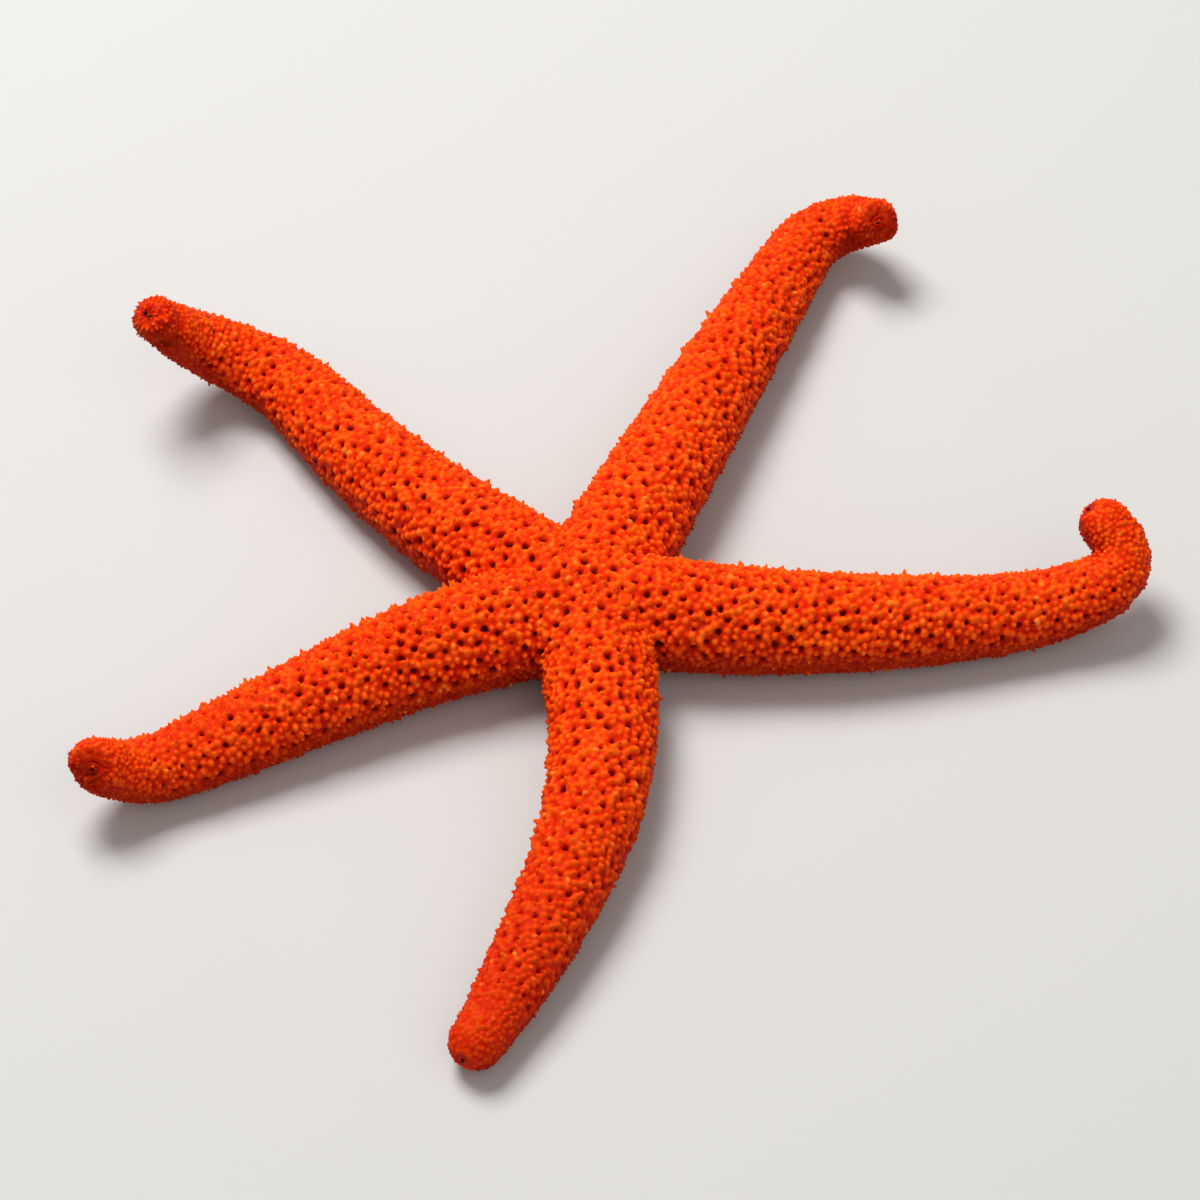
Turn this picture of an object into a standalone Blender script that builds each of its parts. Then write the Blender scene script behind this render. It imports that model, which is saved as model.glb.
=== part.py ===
"""A finger starfish at life size, resting on its flat underside.

Five finger-like arms grow from a small disc. Each arm follows one centreline,
given by its heading, its sway and the hook and lift of its tip, and is divided
into lengths that meet face to face. The back carries blunt tubercles, and the
groove along the underside holds two rows of tube feet with suckers.
Metres, +Z up, the sole at z = 0, the middle of the bounding box at x = y = 0.
"""

import math
import random

import bmesh
import bpy
from mathutils import Matrix, Vector
from mathutils.bvhtree import BVHTree

OBJECT_NAME = "finger_starfish"

# The middle of the disc, placed so that the whole animal is centred on the origin
DISC_X = -0.0044
DISC_Y = -0.0011

# The arms' thickness, without the tubercles
ROOT_RADIUS = 0.0072
TIP_RADIUS = 0.0035
TAPER_POWER = 1.35

# The section of an arm, as shares of its radius
AXIS_HEIGHT = 0.85
BACK_SPREAD = math.radians(122)
BACK_SEGMENTS = 10
FOOT_EDGE = 0.60
GROOVE_EDGE = 0.36
GROOVE_ROOF_EDGE = 0.22
GROOVE_ROOF = 0.46

# Lengths along an arm, and the gap between pieces that meet
STRAIGHT_SHARE = 0.12
HOOK_EVENNESS = 0.6
ROOT_FACE = 0.0140
GAP = 0.0003
WALK_STEPS = 400
RING_STEP = 0.0058
RING_TURN = math.radians(13)
CAP_TURNS = (28, 52, 70)

# The disc, its mouth and its sieve plate
DOME_RADIUS = 0.0104
DOME_HALF_HEIGHT = 0.0068
DOME_MIDDLE = 0.0070
STUB_MIDDLE = 0.0060
CUTTER_BELOW = 0.0010
GROOVE_START = 0.0020
MOUTH_RADIUS = 0.0042
MOUTH_DEPTH = 0.0034
SIEVE_RADIUS = 0.0012
SIEVE_DOME = 0.0006
SIEVE_SEAT_DEPTH = 0.0007
SIEVE_DISTANCE = 0.0062
SIEVE_HEADING = math.radians(322)
ABOVE_ALL = 0.05

# The jaws round the mouth, and their spines
JAW_DISTANCE = 0.0027
JAW_RADIUS = 0.0011
JAW_FLARE = 1.15
JAW_HEIGHT = 0.0022
JAW_PLATE_BOTTOM = 0.0018
MOUTH_HOLE = 0.0012
ORAL_SPINE_DISTANCE = 0.0023
ORAL_SPINE_HEIGHT = 0.0012
ORAL_SPINE_OFFSET = 0.00032
ORAL_SPINE_DROP = 0.35
ORAL_SPINE_RADIUS = 0.00026
ORAL_SPINE_LENGTH = 0.0013

# The eyespot at the end of each arm
EYESPOT_RADIUS = 0.0009
EYESPOT_THICK = 0.0005

# Tubercles: cones in staggered rings, with sizes for the disc and for the tips
TUBERCLE_STEP = 0.64
TUBERCLE_RINGS = ((-78, -39, 0, 39, 78), (-98, -59, -20, 20, 59, 98))
TUBERCLE_RADIUS = (0.00080, 0.00050)
TUBERCLE_TALL = (0.00100, 0.00068)
TUBERCLE_SUNK = 0.0009
TUBERCLE_SIDES = 5
TUBERCLE_SIZE_WANDER = 0.16
TUBERCLE_ANGLE_WANDER = 5
END_RING_TURN = math.radians(38)
END_RING_ANGLES = (-105, -63, -21, 21, 63, 105)
CUT_CLEARANCE = 0.0013
CLOSE_BEND = 0.55
BEND_REACH = 4
DISC_TUBERCLE_SPACING = 0.0023
DISC_TUBERCLE_LIMIT = 0.0126
DISC_TUBERCLE_LOWEST = 0.0050
GOLDEN_ANGLE = math.pi * (3 - math.sqrt(5))

# Tube feet: two staggered rows along each groove, with sizes for the disc and for the tips
TUBE_FOOT_STEP = 0.46
TUBE_FOOT_FIRST = 0.0062
TUBE_FOOT_OFFSET = 0.165
TUBE_FOOT_CLEARANCE = 0.0010
TUBE_FOOT_NECK = (0.00032, 0.00027)
SUCKER_RADIUS = (0.00060, 0.00042)
SUCKER_THICK = 0.0005
TUBE_FOOT_SUNK = 0.0007
TUBE_FOOT_SIDES = 5

SEED = 7
UP = Vector((0, 0, 1))


class Arm:
    """One arm: degrees for its angles, metres for its length, shares of it for the rest."""

    def __init__(self, heading, length, sway, hook, hook_start, lift, lift_start, cuts):
        self.heading = heading
        self.reach = length - TIP_RADIUS
        self.sway = sway
        self.hook = hook
        self.hook_start = hook_start
        self.lift = lift
        self.lift_start = lift_start
        self.cuts = cuts


ARMS = {
    "arm_right": Arm(-6.4, 0.0772, 27.9, 135, 0.862, 36, 0.643, (0.36, 0.64, 0.85)),
    "arm_back_right": Arm(66.4, 0.0838, -3.6, -128, 0.821, 44, 0.772, (0.40, 0.72)),
    "arm_back_left": Arm(142.1, 0.0785, -30.8, 105, 0.645, 59, 0.648, (0.38, 0.68)),
    "arm_left": Arm(197.6, 0.0691, 29.5, -18, 0.50, 52, 0.775, (0.42, 0.72)),
    "arm_front": Arm(280.5, 0.0682, -65.5, 17, 0.564, 4, 0.84, (0.42, 0.72)),
}
LENGTH_NAMES = {2: ("root", "middle", "tip"), 3: ("root", "middle", "outer", "tip")}

COLOURS = {
    "disc": (0.85, 0.15, 0.02, 1),
    "arm": (0.90, 0.17, 0.02, 1),
    "mouth": (0.55, 0.06, 0.02, 1),
    "sieve_plate": (0.88, 0.30, 0.12, 1),
    "eyespot": (0.25, 0.01, 0.02, 1),
}
ROUGHNESS = {"disc": 0.5, "arm": 0.5, "mouth": 0.45, "sieve_plate": 0.7, "eyespot": 0.3}


def ease(x):
    x = min(max(x, 0.0), 1.0)
    return x * x * (3 - 2 * x)


def wound(x):
    """How far a hook has turned, nearly evenly along it."""
    x = min(max(x, 0.0), 1.0)
    return HOOK_EVENNESS * x + (1 - HOOK_EVENNESS) * ease(x)


def between(pair, share):
    """A size that runs from the disc's value to the tip's."""
    return pair[0] + (pair[1] - pair[0]) * share


def radius_at(share):
    return between((ROOT_RADIUS, TIP_RADIUS), share ** TAPER_POWER)


class Station:
    """A place on a centreline: the axis point, the arm's frame there and its radius."""

    def __init__(self, share, floor_point, heading, pitch):
        self.share = share
        self.radius = radius_at(share)
        self.forward = Vector((math.cos(heading) * math.cos(pitch),
                               math.sin(heading) * math.cos(pitch),
                               math.sin(pitch)))
        self.side = Vector((math.sin(heading), -math.cos(heading), 0))
        self.up = self.side.cross(self.forward)
        self.centre = floor_point + UP * AXIS_HEIGHT * self.radius

    def at(self, side, up, forward=0.0):
        return self.centre + self.side * side + self.up * up + self.forward * forward

    def around(self, angle):
        """The direction outwards at an angle from the top of the back."""
        return self.side * math.sin(angle) + self.up * math.cos(angle)


def angles_at(arm, share):
    heading = arm.heading + arm.sway * max(share - STRAIGHT_SHARE, 0)
    heading += arm.hook * wound((share - arm.hook_start) / (1 - arm.hook_start))
    pitch = arm.lift * ease((share - arm.lift_start) / (1 - arm.lift_start))
    return math.radians(heading), math.radians(pitch)


def walk(arm):
    """Stations along the centreline, from the disc's middle to the round end's centre."""
    point = Vector((DISC_X, DISC_Y, 0))
    stations = [Station(0, point.copy(), *angles_at(arm, 0))]
    for count in range(1, WALK_STEPS + 1):
        share = count / WALK_STEPS
        heading, pitch = angles_at(arm, share)
        before = stations[-1].forward
        after = Station(share, point, heading, pitch).forward
        point += (before + after) * (arm.reach / WALK_STEPS / 2)
        stations.append(Station(share, point.copy(), heading, pitch))
    return stations


def index_at(arm, distance):
    return min(max(round(distance / arm.reach * WALK_STEPS), 0), WALK_STEPS)


def back_outline(radius):
    """Points over the back, from one side of the sole to the other."""
    points = []
    for count in range(BACK_SEGMENTS + 1):
        angle = BACK_SPREAD * (1 - 2 * count / BACK_SEGMENTS)
        points.append((radius * math.sin(angle), radius * math.cos(angle)))
    return points


def closed_section(radius):
    """The section with a flat sole and no groove."""
    sole = -AXIS_HEIGHT * radius
    return back_outline(radius) + [(-FOOT_EDGE * radius, sole), (FOOT_EDGE * radius, sole)]


def grooved_section(radius):
    sole = -AXIS_HEIGHT * radius
    roof = -GROOVE_ROOF * radius
    return back_outline(radius) + [
        (-FOOT_EDGE * radius, sole),
        (-GROOVE_EDGE * radius, sole),
        (-GROOVE_ROOF_EDGE * radius, roof),
        (GROOVE_ROOF_EDGE * radius, roof),
        (GROOVE_EDGE * radius, sole),
        (FOOT_EDGE * radius, sole),
    ]


def groove_section(radius):
    """The groove alone, as a cutter that reaches below the sole."""
    sole = -AXIS_HEIGHT * radius
    roof = -GROOVE_ROOF * radius
    return [
        (-GROOVE_EDGE * radius, sole - CUTTER_BELOW),
        (-GROOVE_EDGE * radius, sole),
        (-GROOVE_ROOF_EDGE * radius, roof),
        (GROOVE_ROOF_EDGE * radius, roof),
        (GROOVE_EDGE * radius, sole),
        (GROOVE_EDGE * radius, sole - CUTTER_BELOW),
    ]


def ring_at(station, section, radius=None, forward=0.0):
    outline = section(station.radius if radius is None else radius)
    return [station.at(side, up, forward) for side, up in outline]


def loft(rings):
    """A closed body through rings of equal count, with both ends filled."""
    bm = bmesh.new()
    rows = [[bm.verts.new(point) for point in ring] for ring in rings]
    for row, following in zip(rows, rows[1:]):
        for count in range(len(row)):
            after = (count + 1) % len(row)
            bm.faces.new((row[count], row[after], following[after], following[count]))
    bm.faces.new(rows[0])
    bm.faces.new(reversed(rows[-1]))
    return bm


def collection(name):
    found = bpy.data.collections.get(name)
    if found is None:
        found = bpy.data.collections.new(name)
        bpy.context.scene.collection.children.link(found)
    return found


def object_from(bm, name, home):
    mesh = bpy.data.meshes.new(name)
    bmesh.ops.recalc_face_normals(bm, faces=bm.faces)
    bm.to_mesh(mesh)
    bm.free()
    made = bpy.data.objects.new(name, mesh)
    home.objects.link(made)
    return made


def pointing(place, direction):
    """A matrix that sets a piece made along +Z at a place, pointing in a direction."""
    turn = direction.to_track_quat("Z", "Y").to_matrix().to_4x4()
    return Matrix.Translation(place) @ turn


def cone_between(low, high, low_radius, high_radius, sides):
    """A cone along +Z, between two heights."""
    bm = bmesh.new()
    bmesh.ops.create_cone(bm, cap_ends=True, segments=sides, radius1=low_radius,
                          radius2=high_radius, depth=high - low)
    bmesh.ops.translate(bm, vec=(0, 0, (low + high) / 2), verts=bm.verts)
    return bm


def turned(name, profile, segments, home, placing):
    """A profile of (radius, height), from its top down its outer side, turned about Z."""
    bm = bmesh.new()
    points = [bm.verts.new((radius, 0, height)) for radius, height in profile]
    for one, other in zip(points, points[1:]):
        bm.edges.new((one, other))
    mesh = bpy.data.meshes.new(name)
    bm.to_mesh(mesh)
    bm.free()
    made = bpy.data.objects.new(name, mesh)
    home.objects.link(made)
    screw = made.modifiers.new("turn", "SCREW")
    screw.steps = segments
    screw.render_steps = segments
    screw.use_merge_vertices = True
    screw.merge_threshold = 0.00001
    keep_evaluated(made)
    made.data.transform(placing)
    return made


def shells_of(bm):
    """The separate closed surfaces of a mesh, as sets of vertices, smallest first."""
    left = set(bm.verts)
    shells = []
    while left:
        shell = {left.pop()}
        edge = list(shell)
        while edge:
            vertex = edge.pop()
            for link in vertex.link_edges:
                other = link.other_vert(vertex)
                if other not in shell:
                    shell.add(other)
                    edge.append(other)
        left -= shell
        shells.append(shell)
    return sorted(shells, key=len)


def keep_evaluated(part):
    """Applies a part's modifiers and keeps its largest closed surface, in triangles."""
    depsgraph = bpy.context.evaluated_depsgraph_get()
    mesh = bpy.data.meshes.new_from_object(part.evaluated_get(depsgraph))
    bm = bmesh.new()
    bm.from_mesh(mesh)
    bmesh.ops.triangulate(bm, faces=bm.faces)
    loose = [vertex for shell in shells_of(bm)[:-1] for vertex in shell]
    bmesh.ops.delete(bm, geom=loose, context="VERTS")
    bm.to_mesh(mesh)
    bm.free()
    part.modifiers.clear()
    part.data = mesh


def combine(part, group, operation, solver="EXACT"):
    """One Boolean with every closed mesh of a collection, whose objects are then removed."""
    boolean = part.modifiers.new(operation.lower(), "BOOLEAN")
    boolean.operation = operation
    boolean.operand_type = "COLLECTION"
    boolean.collection = group
    boolean.solver = solver
    keep_evaluated(part)
    for used in list(group.objects):
        bpy.data.objects.remove(used)
    bpy.data.collections.remove(group)


def material(kind):
    name = kind + "_flesh"
    made = bpy.data.materials.get(name)
    if made is None:
        made = bpy.data.materials.new(name)
        made.use_nodes = True
        shader = made.node_tree.nodes["Principled BSDF"]
        shader.inputs["Base Color"].default_value = COLOURS[kind]
        shader.inputs["Roughness"].default_value = ROUGHNESS[kind]
        shader.inputs["Metallic"].default_value = 0.0
    return made


def finish_part(part, kind):
    part.data.materials.clear()
    part.data.materials.append(material(kind))
    part.data.shade_smooth()
    part.data.set_sharp_from_angle(angle=math.radians(50))


def surface_of(part):
    """A part's surface, ready to be met by a ray."""
    bm = bmesh.new()
    bm.from_mesh(part.data)
    surface = BVHTree.FromBMesh(bm)
    bm.free()
    return surface


def highest_on(surface, x, y):
    """The surface's highest point over a place, and its normal, or None."""
    place, normal, _, _ = surface.ray_cast(Vector((x, y, ABOVE_ALL)), -UP)
    return place, normal


def add_tubercle(place, outward, share, group, rng):
    size = 1 + TUBERCLE_SIZE_WANDER * rng.uniform(-1, 1)
    radius = between(TUBERCLE_RADIUS, share) * size
    tall = between(TUBERCLE_TALL, share) * size
    bm = cone_between(-TUBERCLE_SUNK, tall, radius, 0, TUBERCLE_SIDES)
    spin = Matrix.Rotation(rng.uniform(0, math.tau), 4, "Z")
    bmesh.ops.transform(bm, matrix=pointing(place, outward) @ spin, verts=bm.verts)
    object_from(bm, "tubercle", group)


def bend_at(stations, index):
    """How fast the centreline turns, as a vector towards the inside of the bend."""
    before = stations[max(index - BEND_REACH, 0)]
    after = stations[min(index + BEND_REACH, WALK_STEPS)]
    return (after.forward - before.forward) / (after.centre - before.centre).length


def clear_of_cuts(distance, cuts):
    for cut in cuts:
        if abs(distance - cut) < CUT_CLEARANCE:
            return cut + math.copysign(CUT_CLEARANCE, distance - cut)
    return distance


def add_arm_tubercles(arm, stations, bounds, number, group, rng):
    """One length's rings of tubercles, counted from the disc so that they run on."""
    distance = ROOT_FACE + CUT_CLEARANCE
    ring = 0
    while distance < arm.reach - TIP_RADIUS / 2:
        set_at = clear_of_cuts(distance, bounds[:-1])
        if bounds[number] < set_at < bounds[number + 1]:
            index = index_at(arm, set_at)
            station = stations[index]
            bend = bend_at(stations, index)
            for degrees in TUBERCLE_RINGS[ring % 2]:
                wander = TUBERCLE_ANGLE_WANDER * rng.uniform(-1, 1)
                outward = station.around(math.radians(degrees + wander))
                if bend.dot(outward) * station.radius < CLOSE_BEND:
                    place = station.centre + outward * station.radius
                    add_tubercle(place, outward, station.share, group, rng)
        distance += TUBERCLE_STEP * radius_at(distance / arm.reach)
        ring += 1


def add_end_ring(station, group, rng):
    """The last tubercles, which stand round the eyespot."""
    for degrees in END_RING_ANGLES:
        outward = station.around(math.radians(degrees)) * math.cos(END_RING_TURN)
        outward += station.forward * math.sin(END_RING_TURN)
        add_tubercle(station.centre + outward * station.radius, outward, 1.0, group, rng)


def add_tube_foot(station, sideways, group):
    """A tube foot as a slender stalk that widens to its sucker, level with the sole."""
    radius = station.radius
    neck = between(TUBE_FOOT_NECK, station.share)
    sucker = between(SUCKER_RADIUS, station.share)
    bm = cone_between(0, SUCKER_THICK, sucker, neck, TUBE_FOOT_SIDES)
    top = max(bm.faces, key=lambda face: face.calc_center_median().z)
    stalk_top = bmesh.ops.extrude_discrete_faces(bm, faces=[top])["faces"][0]
    length = (AXIS_HEIGHT - GROOVE_ROOF) * radius + TUBE_FOOT_SUNK
    bmesh.ops.translate(bm, vec=(0, 0, length - SUCKER_THICK), verts=stalk_top.verts)
    sole = station.at(sideways * TUBE_FOOT_OFFSET * radius, -AXIS_HEIGHT * radius)
    bmesh.ops.transform(bm, matrix=pointing(sole, station.up), verts=bm.verts)
    object_from(bm, "tube_foot", group)


def add_tube_feet(arm, stations, start, end, group):
    """The tube feet between two distances, on one side of the groove and the other by turns."""
    distance = TUBE_FOOT_FIRST
    sideways = 1
    while distance < arm.reach:
        if start + TUBE_FOOT_CLEARANCE < distance < end - TUBE_FOOT_CLEARANCE:
            add_tube_foot(stations[index_at(arm, distance)], sideways, group)
        sideways = -sideways
        distance += TUBE_FOOT_STEP * radius_at(distance / arm.reach)


def sieve_place():
    return Vector((DISC_X + SIEVE_DISTANCE * math.cos(SIEVE_HEADING),
                   DISC_Y + SIEVE_DISTANCE * math.sin(SIEVE_HEADING)))


def add_disc_tubercles(disc, group, rng):
    """Tubercles in a spiral over the disc's back, square to its surface."""
    surface = surface_of(disc)
    headings = [math.radians(arm.heading) for arm in ARMS.values()]
    last = round((1.3 * ROOT_FACE / DISC_TUBERCLE_SPACING) ** 2)
    for count in range(1, last):
        distance = DISC_TUBERCLE_SPACING * math.sqrt(count)
        angle = count * GOLDEN_ANGLE
        along = max(distance * math.cos(angle - heading) for heading in headings)
        place, normal = highest_on(surface, DISC_X + distance * math.cos(angle),
                                   DISC_Y + distance * math.sin(angle))
        if place is None or place.z < DISC_TUBERCLE_LOWEST or along > DISC_TUBERCLE_LIMIT:
            continue
        if (place.xy - sieve_place()).length > SIEVE_RADIUS + 2 * TUBERCLE_RADIUS[0]:
            add_tubercle(place, normal, 0.0, group, rng)


def build_sieve_plate(parts, disc):
    """The madreporite: a small domed plate seated in a shallow round well."""
    place, normal = highest_on(surface_of(disc), *sieve_place())
    seat = pointing(place, normal)
    wells = collection("sieve_well")
    wide = SIEVE_RADIUS + GAP
    well = cone_between(-SIEVE_SEAT_DEPTH, 4 * SIEVE_DOME, wide, wide, 16)
    bmesh.ops.transform(well, matrix=seat, verts=well.verts)
    object_from(well, "sieve_well", wells)
    combine(disc, wells, "DIFFERENCE", "MANIFOLD")
    bottom = GAP - SIEVE_SEAT_DEPTH
    profile = [(0, SIEVE_DOME), (0.5 * SIEVE_RADIUS, 0.83 * SIEVE_DOME),
               (0.85 * SIEVE_RADIUS, 0.33 * SIEVE_DOME), (SIEVE_RADIUS, -0.17 * SIEVE_DOME),
               (SIEVE_RADIUS, bottom), (0, bottom)]
    finish_part(turned("madreporite", profile, 16, parts, seat), "sieve_plate")


def build_disc(parts, rng):
    """Five arm roots and a low dome, with the grooves and the mouth's well cut from below."""
    dome = bmesh.new()
    bmesh.ops.create_uvsphere(dome, u_segments=20, v_segments=10, radius=1)
    size = Matrix.Diagonal((DOME_RADIUS, DOME_RADIUS, DOME_HALF_HEIGHT, 1))
    middle = Matrix.Translation((DISC_X, DISC_Y, DOME_MIDDLE))
    bmesh.ops.transform(dome, matrix=middle @ size, verts=dome.verts)
    disc = object_from(dome, "disc", parts)
    stubs = collection("disc_stubs")
    grooves = collection("disc_grooves")
    growths = collection("disc_growths")
    for name, arm in ARMS.items():
        stations = walk(arm)
        inner = stations[0]
        half_way = stations[index_at(arm, STUB_MIDDLE)]
        face = stations[index_at(arm, ROOT_FACE)]
        stub = loft([ring_at(inner, closed_section), ring_at(half_way, closed_section),
                     ring_at(face, closed_section, forward=-GAP / 2)])
        object_from(stub, name + "_stub", stubs)
        groove = loft([ring_at(inner, groove_section, forward=GROOVE_START),
                       ring_at(half_way, groove_section),
                       ring_at(face, groove_section, forward=CUTTER_BELOW)])
        object_from(groove, name + "_groove", grooves)
        add_tube_feet(arm, stations, 0, ROOT_FACE, growths)
    combine(disc, stubs, "UNION", "MANIFOLD")
    well = cone_between(-MOUTH_DEPTH, MOUTH_DEPTH, MOUTH_RADIUS, MOUTH_RADIUS, 20)
    bmesh.ops.translate(well, vec=(DISC_X, DISC_Y, 0), verts=well.verts)
    object_from(well, "mouth_well", grooves)
    combine(disc, grooves, "DIFFERENCE", "MANIFOLD")
    build_sieve_plate(parts, disc)
    add_disc_tubercles(disc, growths, rng)
    combine(disc, growths, "UNION", "MANIFOLD")
    finish_part(disc, "disc")


def add_jaw(direction, middle, group):
    """A three-sided jaw that points at the mouth, between two grooves."""
    jaw = cone_between(0, JAW_HEIGHT, JAW_RADIUS, JAW_FLARE * JAW_RADIUS, 3)
    turn = Matrix.Rotation(direction + math.pi / 2, 4, "Z")
    out = Matrix.Translation((JAW_DISTANCE * math.cos(direction),
                              JAW_DISTANCE * math.sin(direction), 0))
    bmesh.ops.transform(jaw, matrix=middle @ out @ turn, verts=jaw.verts)
    object_from(jaw, "jaw", group)


def add_oral_spine(direction, sideways, middle, group):
    """A thin spine from one side of a jaw, pointing over the mouth and a little down."""
    outward = Vector((math.cos(direction), math.sin(direction), 0))
    across = Vector((-math.sin(direction), math.cos(direction), 0))
    root = outward * ORAL_SPINE_DISTANCE + across * sideways * ORAL_SPINE_OFFSET
    root += UP * ORAL_SPINE_HEIGHT
    aim = -outward - UP * ORAL_SPINE_DROP
    spine = cone_between(0, ORAL_SPINE_LENGTH, ORAL_SPINE_RADIUS, 0.45 * ORAL_SPINE_RADIUS, 5)
    bmesh.ops.transform(spine, matrix=middle @ pointing(root, aim), verts=spine.verts)
    object_from(spine, "oral_spine", group)


def build_mouth(parts):
    """A ring plate under the well's roof, with five jaws and their oral spines."""
    outer = MOUTH_RADIUS - GAP
    top = MOUTH_DEPTH - GAP
    profile = [(MOUTH_HOLE, top), (outer, top), (outer, JAW_PLATE_BOTTOM),
               (MOUTH_HOLE, JAW_PLATE_BOTTOM), (MOUTH_HOLE, top)]
    middle = Matrix.Translation((DISC_X, DISC_Y, 0))
    mouth = turned("mouth", profile, 20, parts, middle)
    jaws = collection("jaws")
    headings = sorted(math.radians(arm.heading % 360) for arm in ARMS.values())
    for one, other in zip(headings, headings[1:] + [headings[0] + math.tau]):
        direction = (one + other) / 2
        add_jaw(direction, middle, jaws)
        for sideways in (-1, 1):
            add_oral_spine(direction, sideways, middle, jaws)
    combine(mouth, jaws, "UNION")
    finish_part(mouth, "mouth")


def arm_length_body(arm, stations, start, end):
    """The lofted body of one length, between two distances from the disc's middle."""
    first = stations[index_at(arm, start)]
    last = stations[index_at(arm, end)]
    turn = first.forward.angle(last.forward)
    count = max(round((end - start) / RING_STEP), round(turn / RING_TURN), 2)
    rings = [ring_at(first, grooved_section, forward=GAP / 2)]
    for number in range(1, count):
        place = stations[index_at(arm, start + (end - start) * number / count)]
        rings.append(ring_at(place, grooved_section))
    if end < arm.reach:
        rings.append(ring_at(last, grooved_section, forward=-GAP / 2))
        return loft(rings)
    rings.append(ring_at(last, grooved_section))
    for degrees in CAP_TURNS:
        angle = math.radians(degrees)
        radius = last.radius * math.cos(angle)
        rings.append(ring_at(last, grooved_section, radius, last.radius * math.sin(angle)))
    return loft(rings)


def build_eyespot(name, station, parts):
    """A small dark dome on the flat end of an arm."""
    seat_at = station.radius * math.sin(math.radians(CAP_TURNS[-1]))
    seat = pointing(station.at(0, 0, seat_at + GAP), station.forward)
    profile = [(0, EYESPOT_THICK), (0.5 * EYESPOT_RADIUS, 0.87 * EYESPOT_THICK),
               (0.87 * EYESPOT_RADIUS, 0.5 * EYESPOT_THICK), (EYESPOT_RADIUS, 0), (0, 0)]
    finish_part(turned(name, profile, 12, parts, seat), "eyespot")


def build_arm(name, arm, parts, rng):
    """The lengths of one arm, each with its tubercles and tube feet, and the eyespot."""
    stations = walk(arm)
    bounds = [ROOT_FACE] + [cut * arm.reach for cut in arm.cuts] + [arm.reach]
    for number, length_name in enumerate(LENGTH_NAMES[len(arm.cuts)]):
        start, end = bounds[number:number + 2]
        body = arm_length_body(arm, stations, start, end)
        part = object_from(body, name + "_" + length_name, parts)
        growths = collection(part.name + "_growths")
        add_arm_tubercles(arm, stations, bounds, number, growths, rng)
        add_tube_feet(arm, stations, start, end, growths)
        if end == arm.reach:
            add_end_ring(stations[-1], growths, rng)
        combine(part, growths, "UNION")
        finish_part(part, "arm")
    build_eyespot(name.replace("arm", "eyespot"), stations[-1], parts)


def main():
    for old in list(bpy.data.objects):
        bpy.data.objects.remove(old)
    parts = collection(OBJECT_NAME)
    rng = random.Random(SEED)
    build_disc(parts, rng)
    build_mouth(parts)
    for name, arm in ARMS.items():
        build_arm(name, arm, parts, rng)


main()
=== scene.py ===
"""The looks of a life-size finger starfish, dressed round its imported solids.

One skin stands for all the flesh, with its grooves. Over its back and sides lies the
pitted network of fused nubs, and on that stand the beads, cones and spinelets. Tube
feet and short spines fill the grooves. Metres, +Z up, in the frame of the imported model.
"""

import copy
import math
from dataclasses import dataclass
from functools import cache
from itertools import product

import bpy
import numpy as np
from mathutils import Matrix, Vector
from mathutils.kdtree import KDTree


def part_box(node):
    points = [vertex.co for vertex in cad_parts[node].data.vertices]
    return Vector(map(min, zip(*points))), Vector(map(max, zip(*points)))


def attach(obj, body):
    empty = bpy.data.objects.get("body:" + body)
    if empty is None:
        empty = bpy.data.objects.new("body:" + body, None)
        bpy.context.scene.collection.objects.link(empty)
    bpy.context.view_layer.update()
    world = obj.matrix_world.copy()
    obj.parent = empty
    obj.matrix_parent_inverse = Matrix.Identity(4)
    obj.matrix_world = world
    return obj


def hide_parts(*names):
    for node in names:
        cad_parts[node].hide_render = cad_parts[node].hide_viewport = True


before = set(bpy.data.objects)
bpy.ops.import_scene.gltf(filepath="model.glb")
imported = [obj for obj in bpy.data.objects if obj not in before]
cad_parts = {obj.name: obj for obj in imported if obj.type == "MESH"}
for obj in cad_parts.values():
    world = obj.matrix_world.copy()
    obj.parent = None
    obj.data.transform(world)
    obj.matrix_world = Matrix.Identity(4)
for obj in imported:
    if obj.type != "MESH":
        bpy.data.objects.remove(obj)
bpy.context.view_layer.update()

SEED = 11
BODY = "root"

# The middle of the disc, from the mouth's node, and the arms' own sizes
MOUTH_LOW, MOUTH_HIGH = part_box("mouth")
DISC = (MOUTH_LOW + MOUTH_HIGH) / 2
DISC_FOOT = Vector((DISC.x, DISC.y, 0))
ROOT_RADIUS = 0.0072
TIP_RADIUS = 0.0035
TAPER_POWER = 1.35
AXIS_HEIGHT = 0.85
STRAIGHT_SHARE = 0.12
HOOK_EVENNESS = 0.6
STATIONS = 240

# The plain body: how deep it lies in the solids, and its grooves and mouth
PLAIN_DEPTH = 0.00040
SOLE_REACH = 0.05
SECTION_POINTS = 30
GROOVE_POINTS = 14
GROOVE_WIDTH = 0.37
GROOVE_HEIGHT = -0.83
GROOVE_DEPTH = -2.0
RING_STEP = 0.0022
CAP_TURNS = (20, 38, 54, 68, 80)
DOME_RADIUS = 0.0106
DOME_HALF_HEIGHT = 0.0062
DOME_MIDDLE = 0.0070
DOME_SEGMENTS = 40
MOUTH_RADIUS = 0.0042
MOUTH_DEPTH = 0.0034
MOUTH_BARE = 1.1

# Faces of the skin and of the network over it
SKIN_VOXEL = 0.00042
NETWORK_VOXEL = 0.000196
SMOOTHED_OVER = 0.00103
SKIN_SINK = 0.00055
SOLE = 0.00035
NETWORK_SOLE = 0.00045
BORDER_ANGLES = np.radians((124, 140))
BORDER_DIP = 0.0009
LAST_ANGLE = math.radians(146)
END_WRAP = math.radians(60)
END_SHARES = (0.950, 0.995)

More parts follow.
